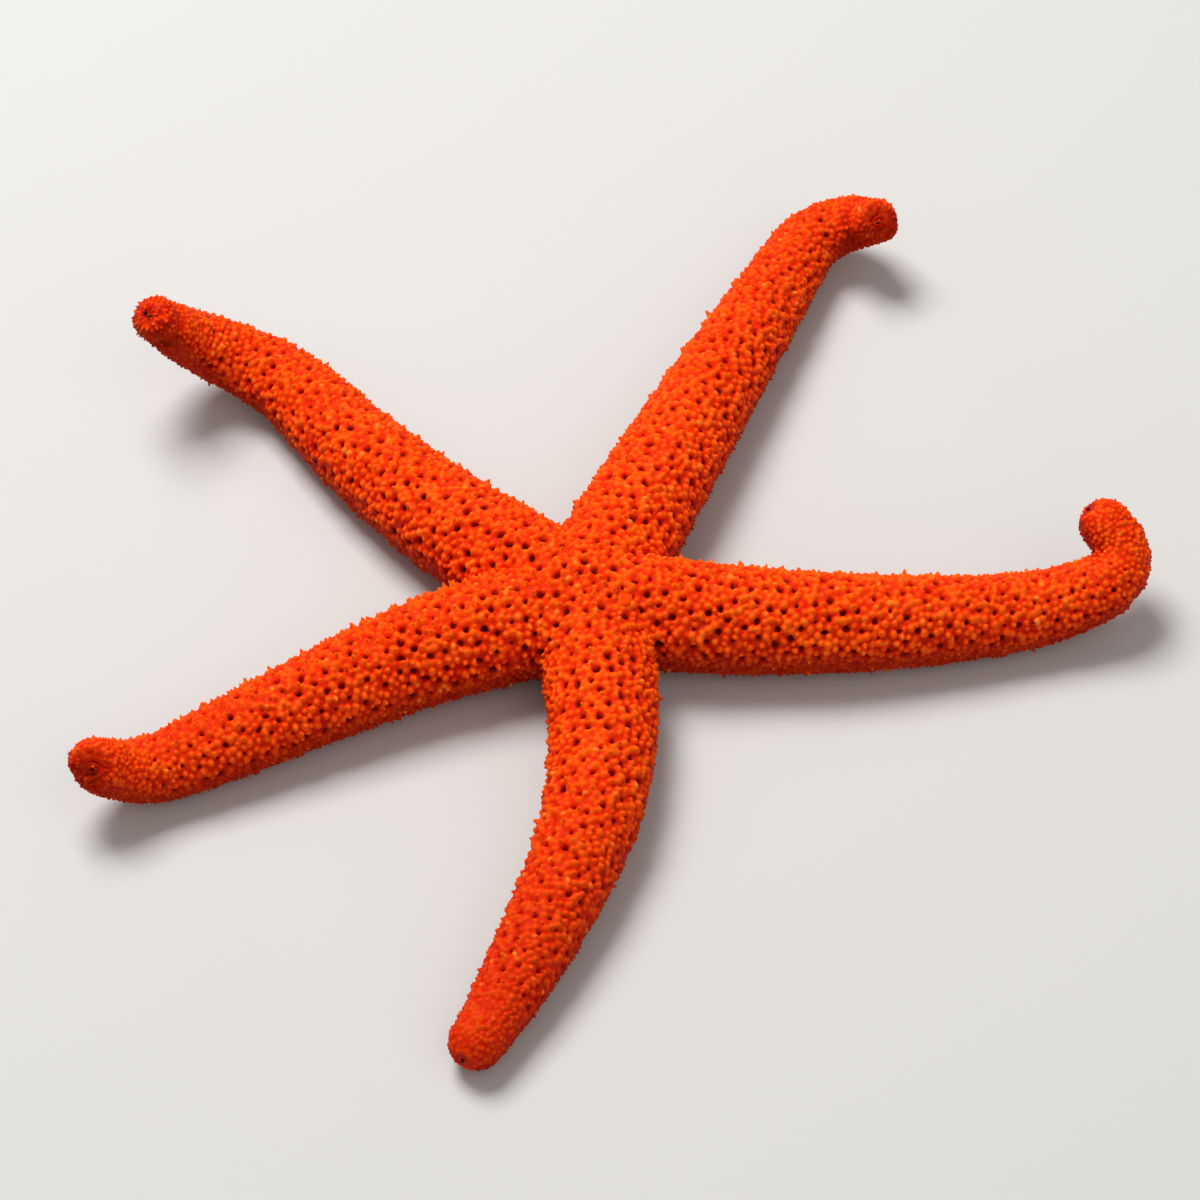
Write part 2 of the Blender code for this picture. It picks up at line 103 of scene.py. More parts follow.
# Sizes that change along an arm, given at these shares of its length
SHARES = (0.0, 0.5, 0.82, 0.92, 1.0)
PIT_SPACING = (0.00166, 0.00160, 0.00142, 0.00135, 0.00135)
PIT_RADIUS = (0.00031, 0.00027, 0.00020, 0.00017, 0.00015)
NUB_SPACING = (0.00075, 0.00073, 0.00067, 0.00056, 0.00050)
NUB_WIDE = (0.00037, 0.00036, 0.00032, 0.00026, 0.00023)
NUB_TALL = (0.00048, 0.00046, 0.00041, 0.00031, 0.00026)

# How much the pits and nubs differ from one to the next
PIT_SIZES = (0.60, 1.45)
NUB_WIDTHS = (0.75, 1.25)
NUB_HEIGHTS = (0.55, 1.40)

# The network: its level over the plain body, its pits, and how its nubs fuse
NETWORK_LEVEL = 0.00030
SIDE_LEVEL = 0.3
TIP_LEVEL = 0.4
BACK_ANGLES = np.radians((70, 110))
TIP_SHARES = (0.86, 0.96)
PIT_SINK = 0.00042
PIT_EDGE = (0.55, 1.35)
PIT_ANGLE = math.radians(84)
PIT_LAST_SHARE = 0.91
PIT_TRIES = 40000
NUB_FOOT = 1.8
FUSING = 3
FUSED_WITH = 4
NUB_TRIES = 210000
NUB_FROM_PIT = 0.84
NUB_FROM_PLATE = 0.78
NUB_LOWEST = 0.00085
NUBLESS_PIT = 0.85
NUBLESS_FACE = 0.6
LUMP_SIZE = 0.0034
LUMPY = 0.22
WAVES = 6
RAGGED_SIZE = 0.0011
RAGGED_PITS = 0.26
RAGGED_NUBS = 0.13
LOW_ANGLES = np.radians((74, 104))
LOW_FINER = 0.20

# Beads low on the sides, blunt cones all over, spinelets at the tips, granules below
BEAD_ANGLES = np.radians((50, 88))
POINTED = {"right": 0.12, "back_right": 0.14, "back_left": 0.24, "left": 0.50, "front": 0.10}
RADIATING = 1.9
GRANULE_SPACING = 0.00054
GRANULE_WIDE = 0.00025
GRANULE_TALL = 0.00026
GRANULE_ANGLES = np.radians((116, 156))
GRANULE_TRIES = 70000
GRANULE_SIZES = (0.8, 1.15)
GRANULE_RISES = (0.25, 0.6)
CROWN_HEIGHTS = (-0.2, 0.9)
STRETCH = (0.90, 1.12)

# The unwrap: the strip of each arm, and the patch of each small shape on it
STRIP_START = 0.02
STRIP_LONG = 0.96
STRIP_HALF = 0.46
PATCH = 0.003

# The small shapes that are copied: rings of radius and height, and how many sides
BEAD = (((1.25, -0.60), (1.02, 0.22), (0.66, 0.76)), 8)
CONE = (((1.30, -0.45), (0.94, 0.20), (0.58, 0.78)), 7)
SPINELET = (((1.15, -0.40), (0.92, 0.20), (0.70, 0.66), (0.40, 0.94)), 6)
GRANULE = (((1.25, -0.60), (1.00, 0.15), (0.62, 0.76)), 6)
FOOT = (((0.80, -0.15), (0.60, 0.20), (0.52, 0.66), (0.62, 0.84), (1.00, 0.92), (0.94, 0.99)), 9)
FOOT_TIP = 0.94

# What stands on the nubs: its shape, how wide and tall it is beside its nub, how far it
# leans, and its rise at the foot and on the crown
COAT = {"bead": (BEAD, 1.0, 0.90, 0.10, (0.26, 0.92)),
        "cone": (CONE, 0.86, 1.50, 0.16, (0.40, 1.0)),
        "spinelet": (SPINELET, 0.80, 2.6, 0.14, (0.36, 1.0))}

# The hollow in each arm's end: its radius, its depth and how far it sits towards the side
HOLLOWS = {"right": (0.0013, 0.0003, 0), "back_right": (0.0027, 0.0018, 0),
           "back_left": (0.0009, 0.0003, 0), "left": (0.0029, 0.0019, -42),
           "front": (0.0013, 0.0002, 0)}
HOLLOW_EDGE = (0.55, 1.15)
POLE_SHARES = (0.20, 0.62)
EYE_RADIUS = 0.00025
EYE_SINK = 0.0002

# The folds that wind round in the two open hollows
WHORLED = ("back_right", "left")
WHORL_EDGE = (0.35, 0.85)
WHORL_STEP = 0.00092
WHORL_TALL = 0.00048
WHORL_ARMS = 2
WHORL_LOBES = 3
WHORL_SWAY = 0.9

# The round face in which one arm ends, with spinelets, and the creases behind two ends
FACED = "back_left"
FACE_REACH = (0.0028, 0.0036)
FACE_EDGE = (0.0006, 0.0032)
FACE_SHORTER = 0.55
SPINELET_FROM = 0.3
FACE_SWELL = 0.00040
CREASES = {"back_left": (0.0043, 0.0008, 0.0008), "back_right": (0.0056, 0.0009, 0.0008)}
DOT_RADIUS = 0.00026
DOT_APART = 0.00046
PAD_SEGMENTS = 16
PAD_RINGS = 10

# The mouth: the membrane's rings, and five jaws with their spines
MEMBRANE = ((0.00430, 0.0034), (0.00370, 0.0027), (0.00270, 0.0024), (0.00170, 0.0025),
            (0.00105, 0.0030), (0.00060, 0.0036))
MEMBRANE_SIDES = 48
THROAT = 0.0038
JAW_DISTANCE = 0.0027
JAW_SIZE = (0.0015, 0.0009, 0.0009)
JAW_HEIGHT = 0.0024
JAW_SPINES = ((-0.00052, 0.0018), (0.00052, 0.0018), (-0.00018, 0.0013), (0.00018, 0.0013),
              (-0.00070, 0.0027), (0.00070, 0.0027))
JAW_SPINE_LEAN = (0.75, 0.65, 300)
JAW_SPINE_HEIGHT = 0.0020
JAW_SPINE_OUT = 0.6
JAW_SPINE_WIDE = 0.00021
JAW_SPINE_LONG = 0.00125

# The sieve plate, and the network's dip round it
PLATE_EDGE = (0.62, 0.92)
PLATE_DIP = 0.0004
PLATE_SEGMENTS = 48
PLATE_RINGS = 14
PLATE_BARE = 0.1
PLATE_TALL = 0.00050
PLATE_SINK = 0.00032
FURROW = (0.97, 0.97, 0.62)

# Tube feet and the spines along the grooves, in shares of the arm's radius
FOOT_STEP = 0.00120
FOOT_ROWS = (-0.265, -0.095, 0.095, 0.265)
FOOT_UNEVEN = (0.0001, 0.012)
FOOT_ROOT = -0.50
FOOT_WIDE = 0.078
FOOT_WIDTHS = (0.9, 1.1)
FOOT_LEAN = 0.07
FOOT_RAISED = 0.0003
FOOT_RISE = 0.45
FOOT_PALER = 0.4
FOOT_SUCKER = (0.7, 1.0)
FOOT_SHORTENS = (0.80, 0.97)
FOOT_SHORTER = 0.45
FIRST_FOOT = 0.0052
FOOT_PAST = 0.001
FIRST_SPINE = 0.0064
SPINE_STEP = 0.00062
SPINE_ROWS = ((0.322, -0.35), (0.372, -0.25))
SPINE_UNEVEN = (0.00008, 0.008)
SPINE_LEAN = 0.08
SPINE_LONG = 0.16
SPINE_LENGTHS = (0.82, 1.0)
SPINE_WIDE = 0.040
SPINE_RISES = (0.35, 1.0)
GROOVE_STOP = 0.955
FLOOR_GAP = 0.0001

# Rise runs from 0 in the pits to 1 on the crowns: its value between the nubs, on the bare
# skin, and what the sides, creases, face and hollows take from it
BETWEEN_RISE = 0.40
BARE_RISE = 0.30
# On the sides the rise sinks between the nubs and the crowns start later: painted shade between the
# nubs
SIDE_ANGLES = np.radians((45, 85))
SIDE_PAINTED_SHADE = 0.18
CROWN_SHARES = (0.05, 0.80)
SIDE_LATER = 0.15
# Painted shade in the creases behind two arms' ends
CREASE_PAINTED_SHADE = 0.5
FACE_DARKER = 0.38
# Painted shade in the hollows at the arms' ends
HOLLOW_PAINTED_SHADE = 0.62
RED_SHARES = (0.20, 0.95)
HOLLOW_RED = 0.8

# Colours
# Colours by rise, near-black maroon in the pits to orange on the crowns: the darker ones partly the
# flesh's own colour, partly painted shade in the pits and between the nubs
RISE_COLOURS = ((0.0, (0.060, 0.0004, 0.001, 1)), (0.14, (0.21, 0.0010, 0.0006, 1)),
                (0.30, (0.52, 0.004, 0.0003, 1)), (0.55, (0.94, 0.036, 0.0006, 1)),
                (1.0, (1.0, 0.120, 0.003, 1)))
RED_PATCH = (0.80, 0.014, 0.001, 1)
DEEP_RED = (0.54, 0.007, 0.001, 1)
# Low on the sides: the flesh's own deep red-brown, darkened further as painted shade
FLANK_COLOUR_AND_SHADE = (0.30, 0.003, 0.0003, 1)
PURPLE = (0.10, 0.001, 0.018, 1)
PURPLE_PITS = 0.06
BRIGHT_ORANGE = (1.0, 0.14, 0.008, 1)
# Painted highlights: the colour of bright specks on a few crowns
GLINT_COLOUR = (1.0, 0.23, 0.022, 1)
MOTTLING = 0.30
MOTTLE_SCALE = 1100
PATCHES = (1 / 3, 7 / 6)
PATCH_SCALE = 220
PATCH_REDDER = 0.45
TIP_REDDER = 0.8
TIP_DEEPER = 0.75
# How far the lower sides turn deep red-brown: partly their own colour, partly painted shade
FLANK_DARKER = 0.80
TINTED = 0.30
TINT_BRIGHTER = 0.5
GRAIN_SCALE = 3500
GRAIN = 0.0001
# Where the deep red-brown and its painted shade begin and end, going round from the top
FLANK_SHARES = (0.38, 0.54)
# Where the painted highlight specks fall: on the highest crowns of the nubs with the highest tint
GLINT_RISE = (0.82, 1.02)
GLINT_TINT = (0.89, 0.99)
FOOT_COLOURS = ((0.4, (0.60, 0.035, 0.004, 1)), (0.9, (0.84, 0.12, 0.020, 1)))
REDNESS = {"right": 0.15, "back_right": 0.35, "back_left": 0.10, "left": 0.40, "front": 1.0}

# The small parts: a dark and a pale colour, the mottling's scale, roughness and specular
EYE_FINISH = ((0.025, 0.001, 0.003, 1), (0.08, 0.002, 0.003, 1), 1500, 0.4, 0.15)
MOUTH_FINISH = ((0.40, 0.012, 0.002, 1), (0.86, 0.085, 0.012, 1), 900, 0.4, 0.15)
PLATE_FINISH = ((0.78, 0.020, 0.0006, 1), (1.0, 0.110, 0.003, 1), 1800, 0.5, 0.03)

# The sockets of a colour mix: its share and its two colours, and its result
MIX_SOCKETS = (0, 6, 7)
MIX_RESULT = 2

# The stage
FLOOR_SIZE = 4.0
LIGHTS = (("key", (-0.25, 0.35, 0.75), 0.4, 7.6), ("fill", (0.35, -0.45, 0.5), 0.8, 1.0))
WORLD_STRENGTH = 0.32
WORLD_COLOUR = (1.0, 0.98, 0.95, 1)

# The camera, aimed at a place given from the disc's middle
CAMERA_ELEVATION = 51.14
CAMERA_DISTANCE = 0.6169
CAMERA_TARGET = (0.00195, 0.00606, 0)
CAMERA_LENS = 100
CAMERA_SENSOR = 24

UP = Vector((0, 0, 1))


@dataclass
class Arm:
    """One arm: degrees for its angles, metres for its length, shares of it for the rest."""

    heading: float
    length: float
    sway: float
    hook: float
    hook_start: float
    lift: float
    lift_start: float

    def __post_init__(self):
        """The centreline's places and directions, from the disc's middle to the tip."""
        self.reach = self.length - TIP_RADIUS
        self.share = np.linspace(0, 1, STATIONS + 1)
        self.radius = ROOT_RADIUS + (TIP_RADIUS - ROOT_RADIUS) * self.share ** TAPER_POWER
        heading = self.heading + self.sway * np.maximum(self.share - STRAIGHT_SHARE, 0)
        hooked = np.clip((self.share - self.hook_start) / (1 - self.hook_start), 0, 1)
        soft = smooth_step(0, 1, hooked)
        heading += self.hook * (HOOK_EVENNESS * hooked + (1 - HOOK_EVENNESS) * soft)
        heading = np.radians(heading)
        pitch = np.radians(self.lift * smooth_step(self.lift_start, 1, self.share))
        self.forward = np.stack([np.cos(heading) * np.cos(pitch),
                                 np.sin(heading) * np.cos(pitch), np.sin(pitch)], axis=1)
        self.side = np.stack([np.sin(heading), -np.cos(heading), 0 * heading], axis=1)
        self.up = np.cross(self.side, self.forward)
        steps = (self.forward[1:] + self.forward[:-1]) * self.reach / STATIONS / 2
        floor_points = np.vstack([np.zeros(3), np.cumsum(steps, axis=0)])
        floor_points += np.array(DISC_FOOT)
        self.centre = floor_points + np.outer(self.radius * AXIS_HEIGHT, UP)
        runs = np.linalg.norm(np.diff(self.centre, axis=0), axis=1)
        self.along = np.concatenate([[0], np.cumsum(runs)])
        self.end = self.centre[-1] + self.forward[-1] * (TIP_RADIUS - PLAIN_DEPTH)


def smooth_step(low, high, x):
    x = np.clip((x - low) / (high - low), 0, 1)
    return x * x * (3 - 2 * x)


ARMS = {
    "right": Arm(-6.4, 0.0772, 27.9, 135, 0.862, 36, 0.643),
    "back_right": Arm(66.4, 0.0838, -3.6, -128, 0.821, 44, 0.772),
    "back_left": Arm(142.1, 0.0785, -30.8, 105, 0.645, 59, 0.648),
    "left": Arm(197.6, 0.0691, 29.5, -18, 0.50, 52, 0.775),
    "front": Arm(280.5, 0.0682, -65.5, 17, 0.564, 4, 0.84),
}
ARM_NAMES = list(ARMS)
FLESH = [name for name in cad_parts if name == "disc" or name.startswith("arm_")]


def deselect():
    bpy.ops.object.select_all(action="DESELECT")


def choose(made):
    """Makes one object the active and only selected one."""
    deselect()
    made.select_set(True)
    bpy.context.view_layer.objects.active = made


def new_object(name, data):
    made = bpy.data.objects.new(name, data)
    bpy.context.collection.objects.link(made)
    return made


def mode(name):
    bpy.ops.object.mode_set(mode=name)


def face_outwards():
    """Turns all the faces of the mesh in edit mode outwards, and leaves that mode."""
    bpy.ops.mesh.select_all(action="SELECT")
    bpy.ops.mesh.normals_make_consistent(inside=False)
    mode("OBJECT")


def give(thing, settings):
    for name, value in settings.items():
        setattr(thing, name, value)


def modify(made, kind, **settings):
    """Adds a modifier to the active object and applies it."""
    modifier = made.modifiers.new("change", kind)
    give(modifier, settings)
    bpy.ops.object.modifier_apply(modifier=modifier.name)


def settled():
    """The object just added, with its place, turn and size taken into its mesh."""
    bpy.ops.object.transform_apply(location=True, rotation=True, scale=True)
    return bpy.context.object


def centreline_curve(arm):
    """The centreline as a curve, for the Curve modifier to bend a straight bar along."""
    curve = bpy.data.curves.new("centreline", "CURVE")
    curve.dimensions = "3D"
    curve.twist_mode = "Z_UP"
    spline = curve.splines.new("POLY")
    spline.points.add(STATIONS)
    places = np.column_stack([arm.centre, np.ones(STATIONS + 1)])
    spline.points.foreach_set("co", places.ravel())
    return new_object("centreline", curve)


def pick(made, wanted):
    """Leaves a mesh in edit mode with only the wanted vertices selected."""
    choose(made)
    mode("EDIT")
    bpy.ops.mesh.select_all(action="DESELECT")
    mode("OBJECT")
    for vertex in made.data.vertices:
        vertex.select = wanted(vertex.co)
    mode("EDIT")


def first_ring(points, radius, height, sole):
    """A filled circle that faces along X, pressed flat where it hangs below the sole."""
    bpy.ops.mesh.primitive_circle_add(vertices=points, radius=radius, fill_type="NGON",
                                      location=(0, 0, height), rotation=(0, math.pi / 2, 0))
    ring = settled()
    pick(ring, lambda place: bool(place.z < sole + SOLE_REACH * radius))
    bpy.ops.transform.resize(value=(1, 1, 0), center_override=(0, 0, sole))
    bpy.ops.mesh.select_all(action="SELECT")
    return ring


def bent_bar(arm, curve, points, width, height, sole, stop):
    """A bar that tapers as the arm does, one ring extruded to the next, and is then bent."""
    count = round(arm.reach / RING_STEP)
    marks = np.linspace(0, STATIONS * stop, count + 1).astype(int)
    rings = [(arm.along[mark], arm.radius[mark] - PLAIN_DEPTH) for mark in marks]
    end, last = rings[-1]
    for degrees in CAP_TURNS:
        turn = math.radians(degrees)
        rings.append((end + last * math.sin(turn), last * math.cos(turn)))
    first = rings[0][1]
    bar = first_ring(points, width * first, height * first, sole * first)
    for (x, radius), (next_x, next_radius) in zip(rings, rings[1:]):
        extrude_by(next_x - x, 0, 0)
        grow = next_radius / radius
        bpy.ops.transform.resize(value=(1, grow, grow), center_override=(next_x, 0, 0))
    face_outwards()
    modify(bar, "CURVE", object=curve)
    return bar


def cut_or_join(base, others, operation):
    """One Boolean of the base with several closed meshes, which are then removed."""
    group = bpy.data.collections.new("others")
    bpy.context.scene.collection.children.link(group)
    for other in others:
        bpy.context.collection.objects.unlink(other)
        group.objects.link(other)
    choose(base)
    modify(base, "BOOLEAN", operation=operation, operand_type="COLLECTION",
           collection=group, solver="MANIFOLD")
    for other in others:
        bpy.data.objects.remove(other)
    bpy.data.collections.remove(group)


def add_dome():
    bpy.ops.mesh.primitive_uv_sphere_add(segments=DOME_SEGMENTS, ring_count=DOME_SEGMENTS // 2,
                                         radius=DOME_RADIUS, location=(DISC.x, DISC.y, DOME_MIDDLE))
    bpy.context.object.scale.z = DOME_HALF_HEIGHT / DOME_RADIUS
    return settled()


def add_mouth_well():
    bpy.ops.mesh.primitive_cylinder_add(vertices=DOME_SEGMENTS, radius=MOUTH_RADIUS,
                                        depth=2 * MOUTH_DEPTH, location=(DISC.x, DISC.y, 0))
    return settled()


def plain_body():
    """The whole body before its relief: a dome and five arms, with grooves and mouth cut."""
    deselect()
    body = add_dome()
    arms = []
    grooves = []
    for arm in ARMS.values():
        curve = centreline_curve(arm)
        arms.append(bent_bar(arm, curve, SECTION_POINTS, 1.0, 0.0, -AXIS_HEIGHT, 1.0))
        grooves.append(bent_bar(arm, curve, GROOVE_POINTS, GROOVE_WIDTH, GROOVE_HEIGHT,
                                GROOVE_DEPTH, GROOVE_STOP))
        bpy.data.objects.remove(curve)
    cut_or_join(body, arms, "UNION")
    cut_or_join(body, grooves + [add_mouth_well()], "DIFFERENCE")
    body.data.materials.clear()
    body.data.materials.append(flesh_material())
    return body


def even_copy(name, body, voxel):
    """A copy of the plain body in small even faces, with its edges smoothed over."""
    made = new_object(name, body.data.copy())
    choose(made)
    modify(made, "REMESH", mode="VOXEL", voxel_size=voxel)
    modify(made, "SMOOTH", factor=0.5, iterations=round((SMOOTHED_OVER / voxel) ** 2))
    made.data.shade_smooth()
    return made


def of_arm(values, number):
    """For each place, the value that belongs to its arm."""
    return np.array(list(values))[number]


def lay_on(arm, points):
    """Points on one arm: its share there, the angle from its top and how far off they are.

    At the arm's end the angle dies away towards the middle of the cap.
    """
    square = (points ** 2).sum(1)[:, None] + (arm.centre ** 2).sum(1)[None, :]
    square -= 2 * points @ arm.centre.T
    station = square.argmin(1)
    away = square[np.arange(len(points)), station] / arm.radius[station] ** 2
    offset = points - arm.centre[station]
    sideways = (offset * arm.side[station]).sum(1)
    upwards = (offset * arm.up[station]).sum(1)
    from_axis = np.hypot(sideways, upwards) / arm.radius[station]
    angle = np.arctan2(sideways, upwards) * smooth_step(*POLE_SHARES, from_axis)
    return station / STATIONS, angle, away


def lay_of(points):
    """The number of the arm that each point lies on, with its share and angle there."""
    laid = []
    for few in np.array_split(points, len(points) // 20000 + 1):
        lays = [lay_on(arm, few) for arm in ARMS.values()]
        number = np.array([away for _, _, away in lays]).argmin(0)
        rows = np.arange(len(few))
        share = np.array([share for share, _, _ in lays])[number, rows]
        angle = np.array([angle for _, angle, _ in lays])[number, rows]
        laid.append((number, share, angle))
    return (np.concatenate(column) for column in zip(*laid))


def unit(vectors):
    return vectors / np.linalg.norm(vectors, axis=1)[:, None]


class Places:
    """Points on the plain body, each with its normal and its lay on the arms."""

    def __init__(self, points, normals):
        self.points = points
        self.normals = normals
        self.number, self.share, self.angle = lay_of(points)

    def only(self, chosen):
        picked = copy.copy(self)
        for name, values in vars(self).items():
            setattr(picked, name, values[chosen])
        return picked

    def spaced(self, gaps):
        return self.only(spread(self.points, gaps + np.zeros(len(self.points))))

    def sized(self, sizes):
        """A size at each place, from the sizes at shares of an arm's length."""
        return np.interp(self.share, SHARES, sizes)

    def on(self, name):
        return self.number == ARM_NAMES.index(name)

    def off(self):
        """How far round from the top each place lies."""
        return np.abs(self.angle)

    def below(self):
        """The same, counted as less at the arm's end, which the network wraps all round."""
        return self.off() - END_WRAP * smooth_step(*END_SHARES, self.share)


def rows_of(items, name, width, kind=float):
    """One property of every item of a mesh, as the rows of an array."""
    values = np.zeros(len(items) * width, kind)
    items.foreach_get(name, values)
    return values.reshape(-1, width)


def places_and_normals(mesh):
    return rows_of(mesh.vertices, "co", 3), rows_of(mesh.vertex_normals, "vector", 3)


def triangles_of(mesh):
    mesh.calc_loop_triangles()
    return rows_of(mesh.loop_triangles, "vertices", 3, int)


def loop_corners(mesh):
    return rows_of(mesh.loops, "vertex_index", 1, int)[:, 0]


def scattered(mesh, count, rng):
    """Random places on a mesh, evenly over its area, with the smooth normals there."""
    corners = triangles_of(mesh)
    places, normals = places_and_normals(mesh)
    one, two, three = (places[corners[:, corner]] for corner in range(3))
    areas = np.linalg.norm(np.cross(two - one, three - one), axis=1)
    chosen = rng.choice(len(corners), size=count, p=areas / areas.sum())
    weights = rng.dirichlet((1, 1, 1), size=count)[:, :, None]
    points = (places[corners[chosen]] * weights).sum(1)
    facing = (normals[corners[chosen]] * weights).sum(1)
    return Places(points, unit(facing))


def spread(points, gaps):
    """The numbers of points that keep their gap from every one kept before them."""
    cell = gaps.max()
    near = list(product((-1, 0, 1), repeat=3))
    cells = {}
    kept = []
    keys = np.floor(points / cell).astype(int)
    listed = zip(points.tolist(), keys.tolist(), gaps.tolist())
    for number, (point, key, gap) in enumerate(listed):
        around = (cells.get((key[0] + x, key[1] + y, key[2] + z), ()) for x, y, z in near)
        if all(math.dist(point, other) >= gap for others in around for other in others):
            cells.setdefault(tuple(key), []).append(point)
            kept.append(number)
    return np.array(kept)


def nearest(points, centres, count):
    """For each point, the nearest centres: how far away they are, and their numbers."""
    tree = KDTree(len(centres))
    for number, centre in enumerate(centres):
        tree.insert(centre, number)
    tree.balance()
    found = [[match[1:] for match in tree.find_n(point, count)] for point in points]
    found = np.array(found)
    return found[:, :, 1], found[:, :, 0].astype(int)


def place_pits(body, rng):
    """Pits over the back, larger and wider apart near the disc."""
    pits = scattered(body.data, PIT_TRIES, rng)
    pits = pits.only((pits.off() < PIT_ANGLE) & (pits.share < PIT_LAST_SHARE))
    pits = pits.spaced(pits.sized(PIT_SPACING))
    pits.radius = pits.sized(PIT_RADIUS) * rng.uniform(*PIT_SIZES, len(pits.points))
    pits.purple = rng.random(len(pits.points)) < PURPLE_PITS
    return pits


def place_nubs(body, pits, rng):
    """Nubs all over the back and sides, close-set, in rings round the pits."""
    nubs = scattered(body.data, NUB_TRIES, rng)
    nubs = nubs.only((nubs.below() < LAST_ANGLE) & (nubs.points[:, 2] > NUB_LOWEST))
    away, which = nearest(nubs.points, pits.points, 1)
    gap = NUB_FROM_PIT * nubs.sized(NUB_WIDE)
    nubs = nubs.only(away[:, 0] > pits.radius[which[:, 0]] + gap)
    nubs = nubs.only(off_the_plate(nubs.points) > NUB_FROM_PLATE)
    nubs.finer = 1 - LOW_FINER * smooth_step(*LOW_ANGLES, nubs.off())
    nubs = nubs.spaced(nubs.sized(NUB_SPACING) * nubs.finer)
    count = len(nubs.points)
    nubs.wide = nubs.sized(NUB_WIDE) * rng.uniform(*NUB_WIDTHS, count) * nubs.finer
    nubs.tall = nubs.sized(NUB_TALL) * rng.uniform(*NUB_HEIGHTS, count) * nubs.finer
    nubs.tall *= 1 + LUMPY * unevenness(nubs.points, LUMP_SIZE)
    nubs.tint = rng.random(count)
    return nubs


def unevenness(points, size):
    """Smooth, and between about -1 and 1, from a few waves in different directions."""
    rng = np.random.default_rng(SEED)
    waves = rng.normal(0, 1, (3, WAVES))
    waves *= math.tau / size / np.linalg.norm(waves, axis=0)
    return np.sin(points @ waves + rng.uniform(0, math.tau, WAVES)).sum(1) / math.sqrt(WAVES)


def off_the_plate(points):
    """How far points are from the sieve plate's middle, in its own radii."""
    low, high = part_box("madreporite")
    middle = np.array((low + high) / 2)
    return np.linalg.norm(points - middle, axis=1) / ((high.x - low.x) / 2)


def hollow_middle(name):
    """The middle of the hollow in an arm's end, on the plain body, and the way out of it."""
    arm = ARMS[name]
    turn = math.radians(HOLLOWS[name][2])
    outward = arm.forward[-1] * math.cos(turn) + arm.side[-1] * math.sin(turn)
    return arm.centre[-1] + outward * (TIP_RADIUS - PLAIN_DEPTH), outward


def hollow_at(places):
    """How far into the hollow at its arm's end each place lies, and how deep that is."""
    inside = np.zeros(len(places.points))
    for name in ARM_NAMES:
        own = places.on(name)
        middle, _ = hollow_middle(name)
        away = np.linalg.norm(places.points[own] - middle, axis=1)
        inside[own] = 1 - smooth_step(*HOLLOW_EDGE, away / HOLLOWS[name][0])
    return inside, inside * of_arm((deep for _, deep, _ in HOLLOWS.values()), places.number)


def whorl_at(places):
    """The height of the folds that wind round inside the open hollows."""
    height = np.zeros(len(places.points))
    for name in WHORLED:
        own = places.on(name)
        middle, outward = hollow_middle(name)
        first = np.cross(outward, ARMS[name].up[-1])
        first /= np.linalg.norm(first)
        offset = places.points[own] - middle
        one, two = offset @ first, offset @ np.cross(outward, first)
        turn = np.arctan2(two, one)
        wave = np.hypot(one, two) / WHORL_STEP * math.tau + WHORL_ARMS * turn
        wave += WHORL_SWAY * np.sin(WHORL_LOBES * turn)
        height[own] = WHORL_TALL * (0.5 + 0.5 * np.cos(wave))
    return height


def from_end(places):
    """How far each place is from the end of its arm, and the way out from the end's middle."""
    ends = of_arm((arm.end for arm in ARMS.values()), places.number)
    forward = of_arm((arm.forward[-1] for arm in ARMS.values()), places.number)
    offset = places.points - ends
    outward = offset - forward * (offset * forward).sum(1)[:, None]
    outward /= np.linalg.norm(outward, axis=1)[:, None] + 1e-9
    return np.linalg.norm(offset, axis=1), outward


def crease_at(places):
    """How far into the crease behind its arm's end each place lies, and how deep that is."""
    away, _ = from_end(places)
    inside = np.zeros(len(away))
    depth = np.zeros(len(away))
    for name, (radius, wide, deep) in CREASES.items():
        own = places.on(name)
        inside[own] = np.exp(-((away[own] - radius) / wide) ** 2)
        depth[own] = deep * inside[own]
    return inside, depth


def face_at(places):
    """Whether each place lies on the round face in which one arm ends."""
    away, _ = from_end(places)
    return (1 - smooth_step(*FACE_REACH, away)) * places.on(FACED)


def humps_at(places, nubs):
    """The fused height of the nubs round each place, and the nearest nub's number."""
    away, which = nearest(places.points, nubs.points, FUSED_WITH)
    ragged = 1 + RAGGED_NUBS * unevenness(places.points, RAGGED_SIZE)
    x = away / (NUB_FOOT * nubs.wide[which]) * ragged[:, None]
    heights = nubs.tall[which] * np.clip(1 - x * x, 0, 1) ** 2
    return (heights ** FUSING).sum(1) ** (1 / FUSING), which[:, 0]


def level_at(places, pits):
    """The network's level over the plain body without its nubs, and the pits there."""
    away, which = nearest(places.points, pits.points, 1)
    ragged = 1 + RAGGED_PITS * unevenness(places.points, RAGGED_SIZE)
    pit = 1 - smooth_step(*PIT_EDGE, away[:, 0] / pits.radius[which[:, 0]] * ragged)
    side = 1 - (1 - SIDE_LEVEL) * smooth_step(*BACK_ANGLES, places.off())
    tip = 1 - (1 - TIP_LEVEL) * smooth_step(*TIP_SHARES, places.share)
    plate = 1 - smooth_step(*PLATE_EDGE, off_the_plate(places.points))
    height = NETWORK_LEVEL * side * tip * (1 - pit) - PIT_SINK * pit - PLATE_DIP * plate
    height -= hollow_at(places)[1] + crease_at(places)[1]
    height -= BORDER_DIP * smooth_step(*BORDER_ANGLES, places.below())
    height += FACE_SWELL * face_at(places)
    return height, pit, which[:, 0]


def redness_at(places):
    """How much redder than the rest each place is: towards the tips, and in their hollows."""
    most = of_arm(REDNESS.values(), places.number)
    inside, _ = hollow_at(places)
    return np.clip(most * smooth_step(*RED_SHARES, places.share) + HOLLOW_RED * inside, 0, 1)


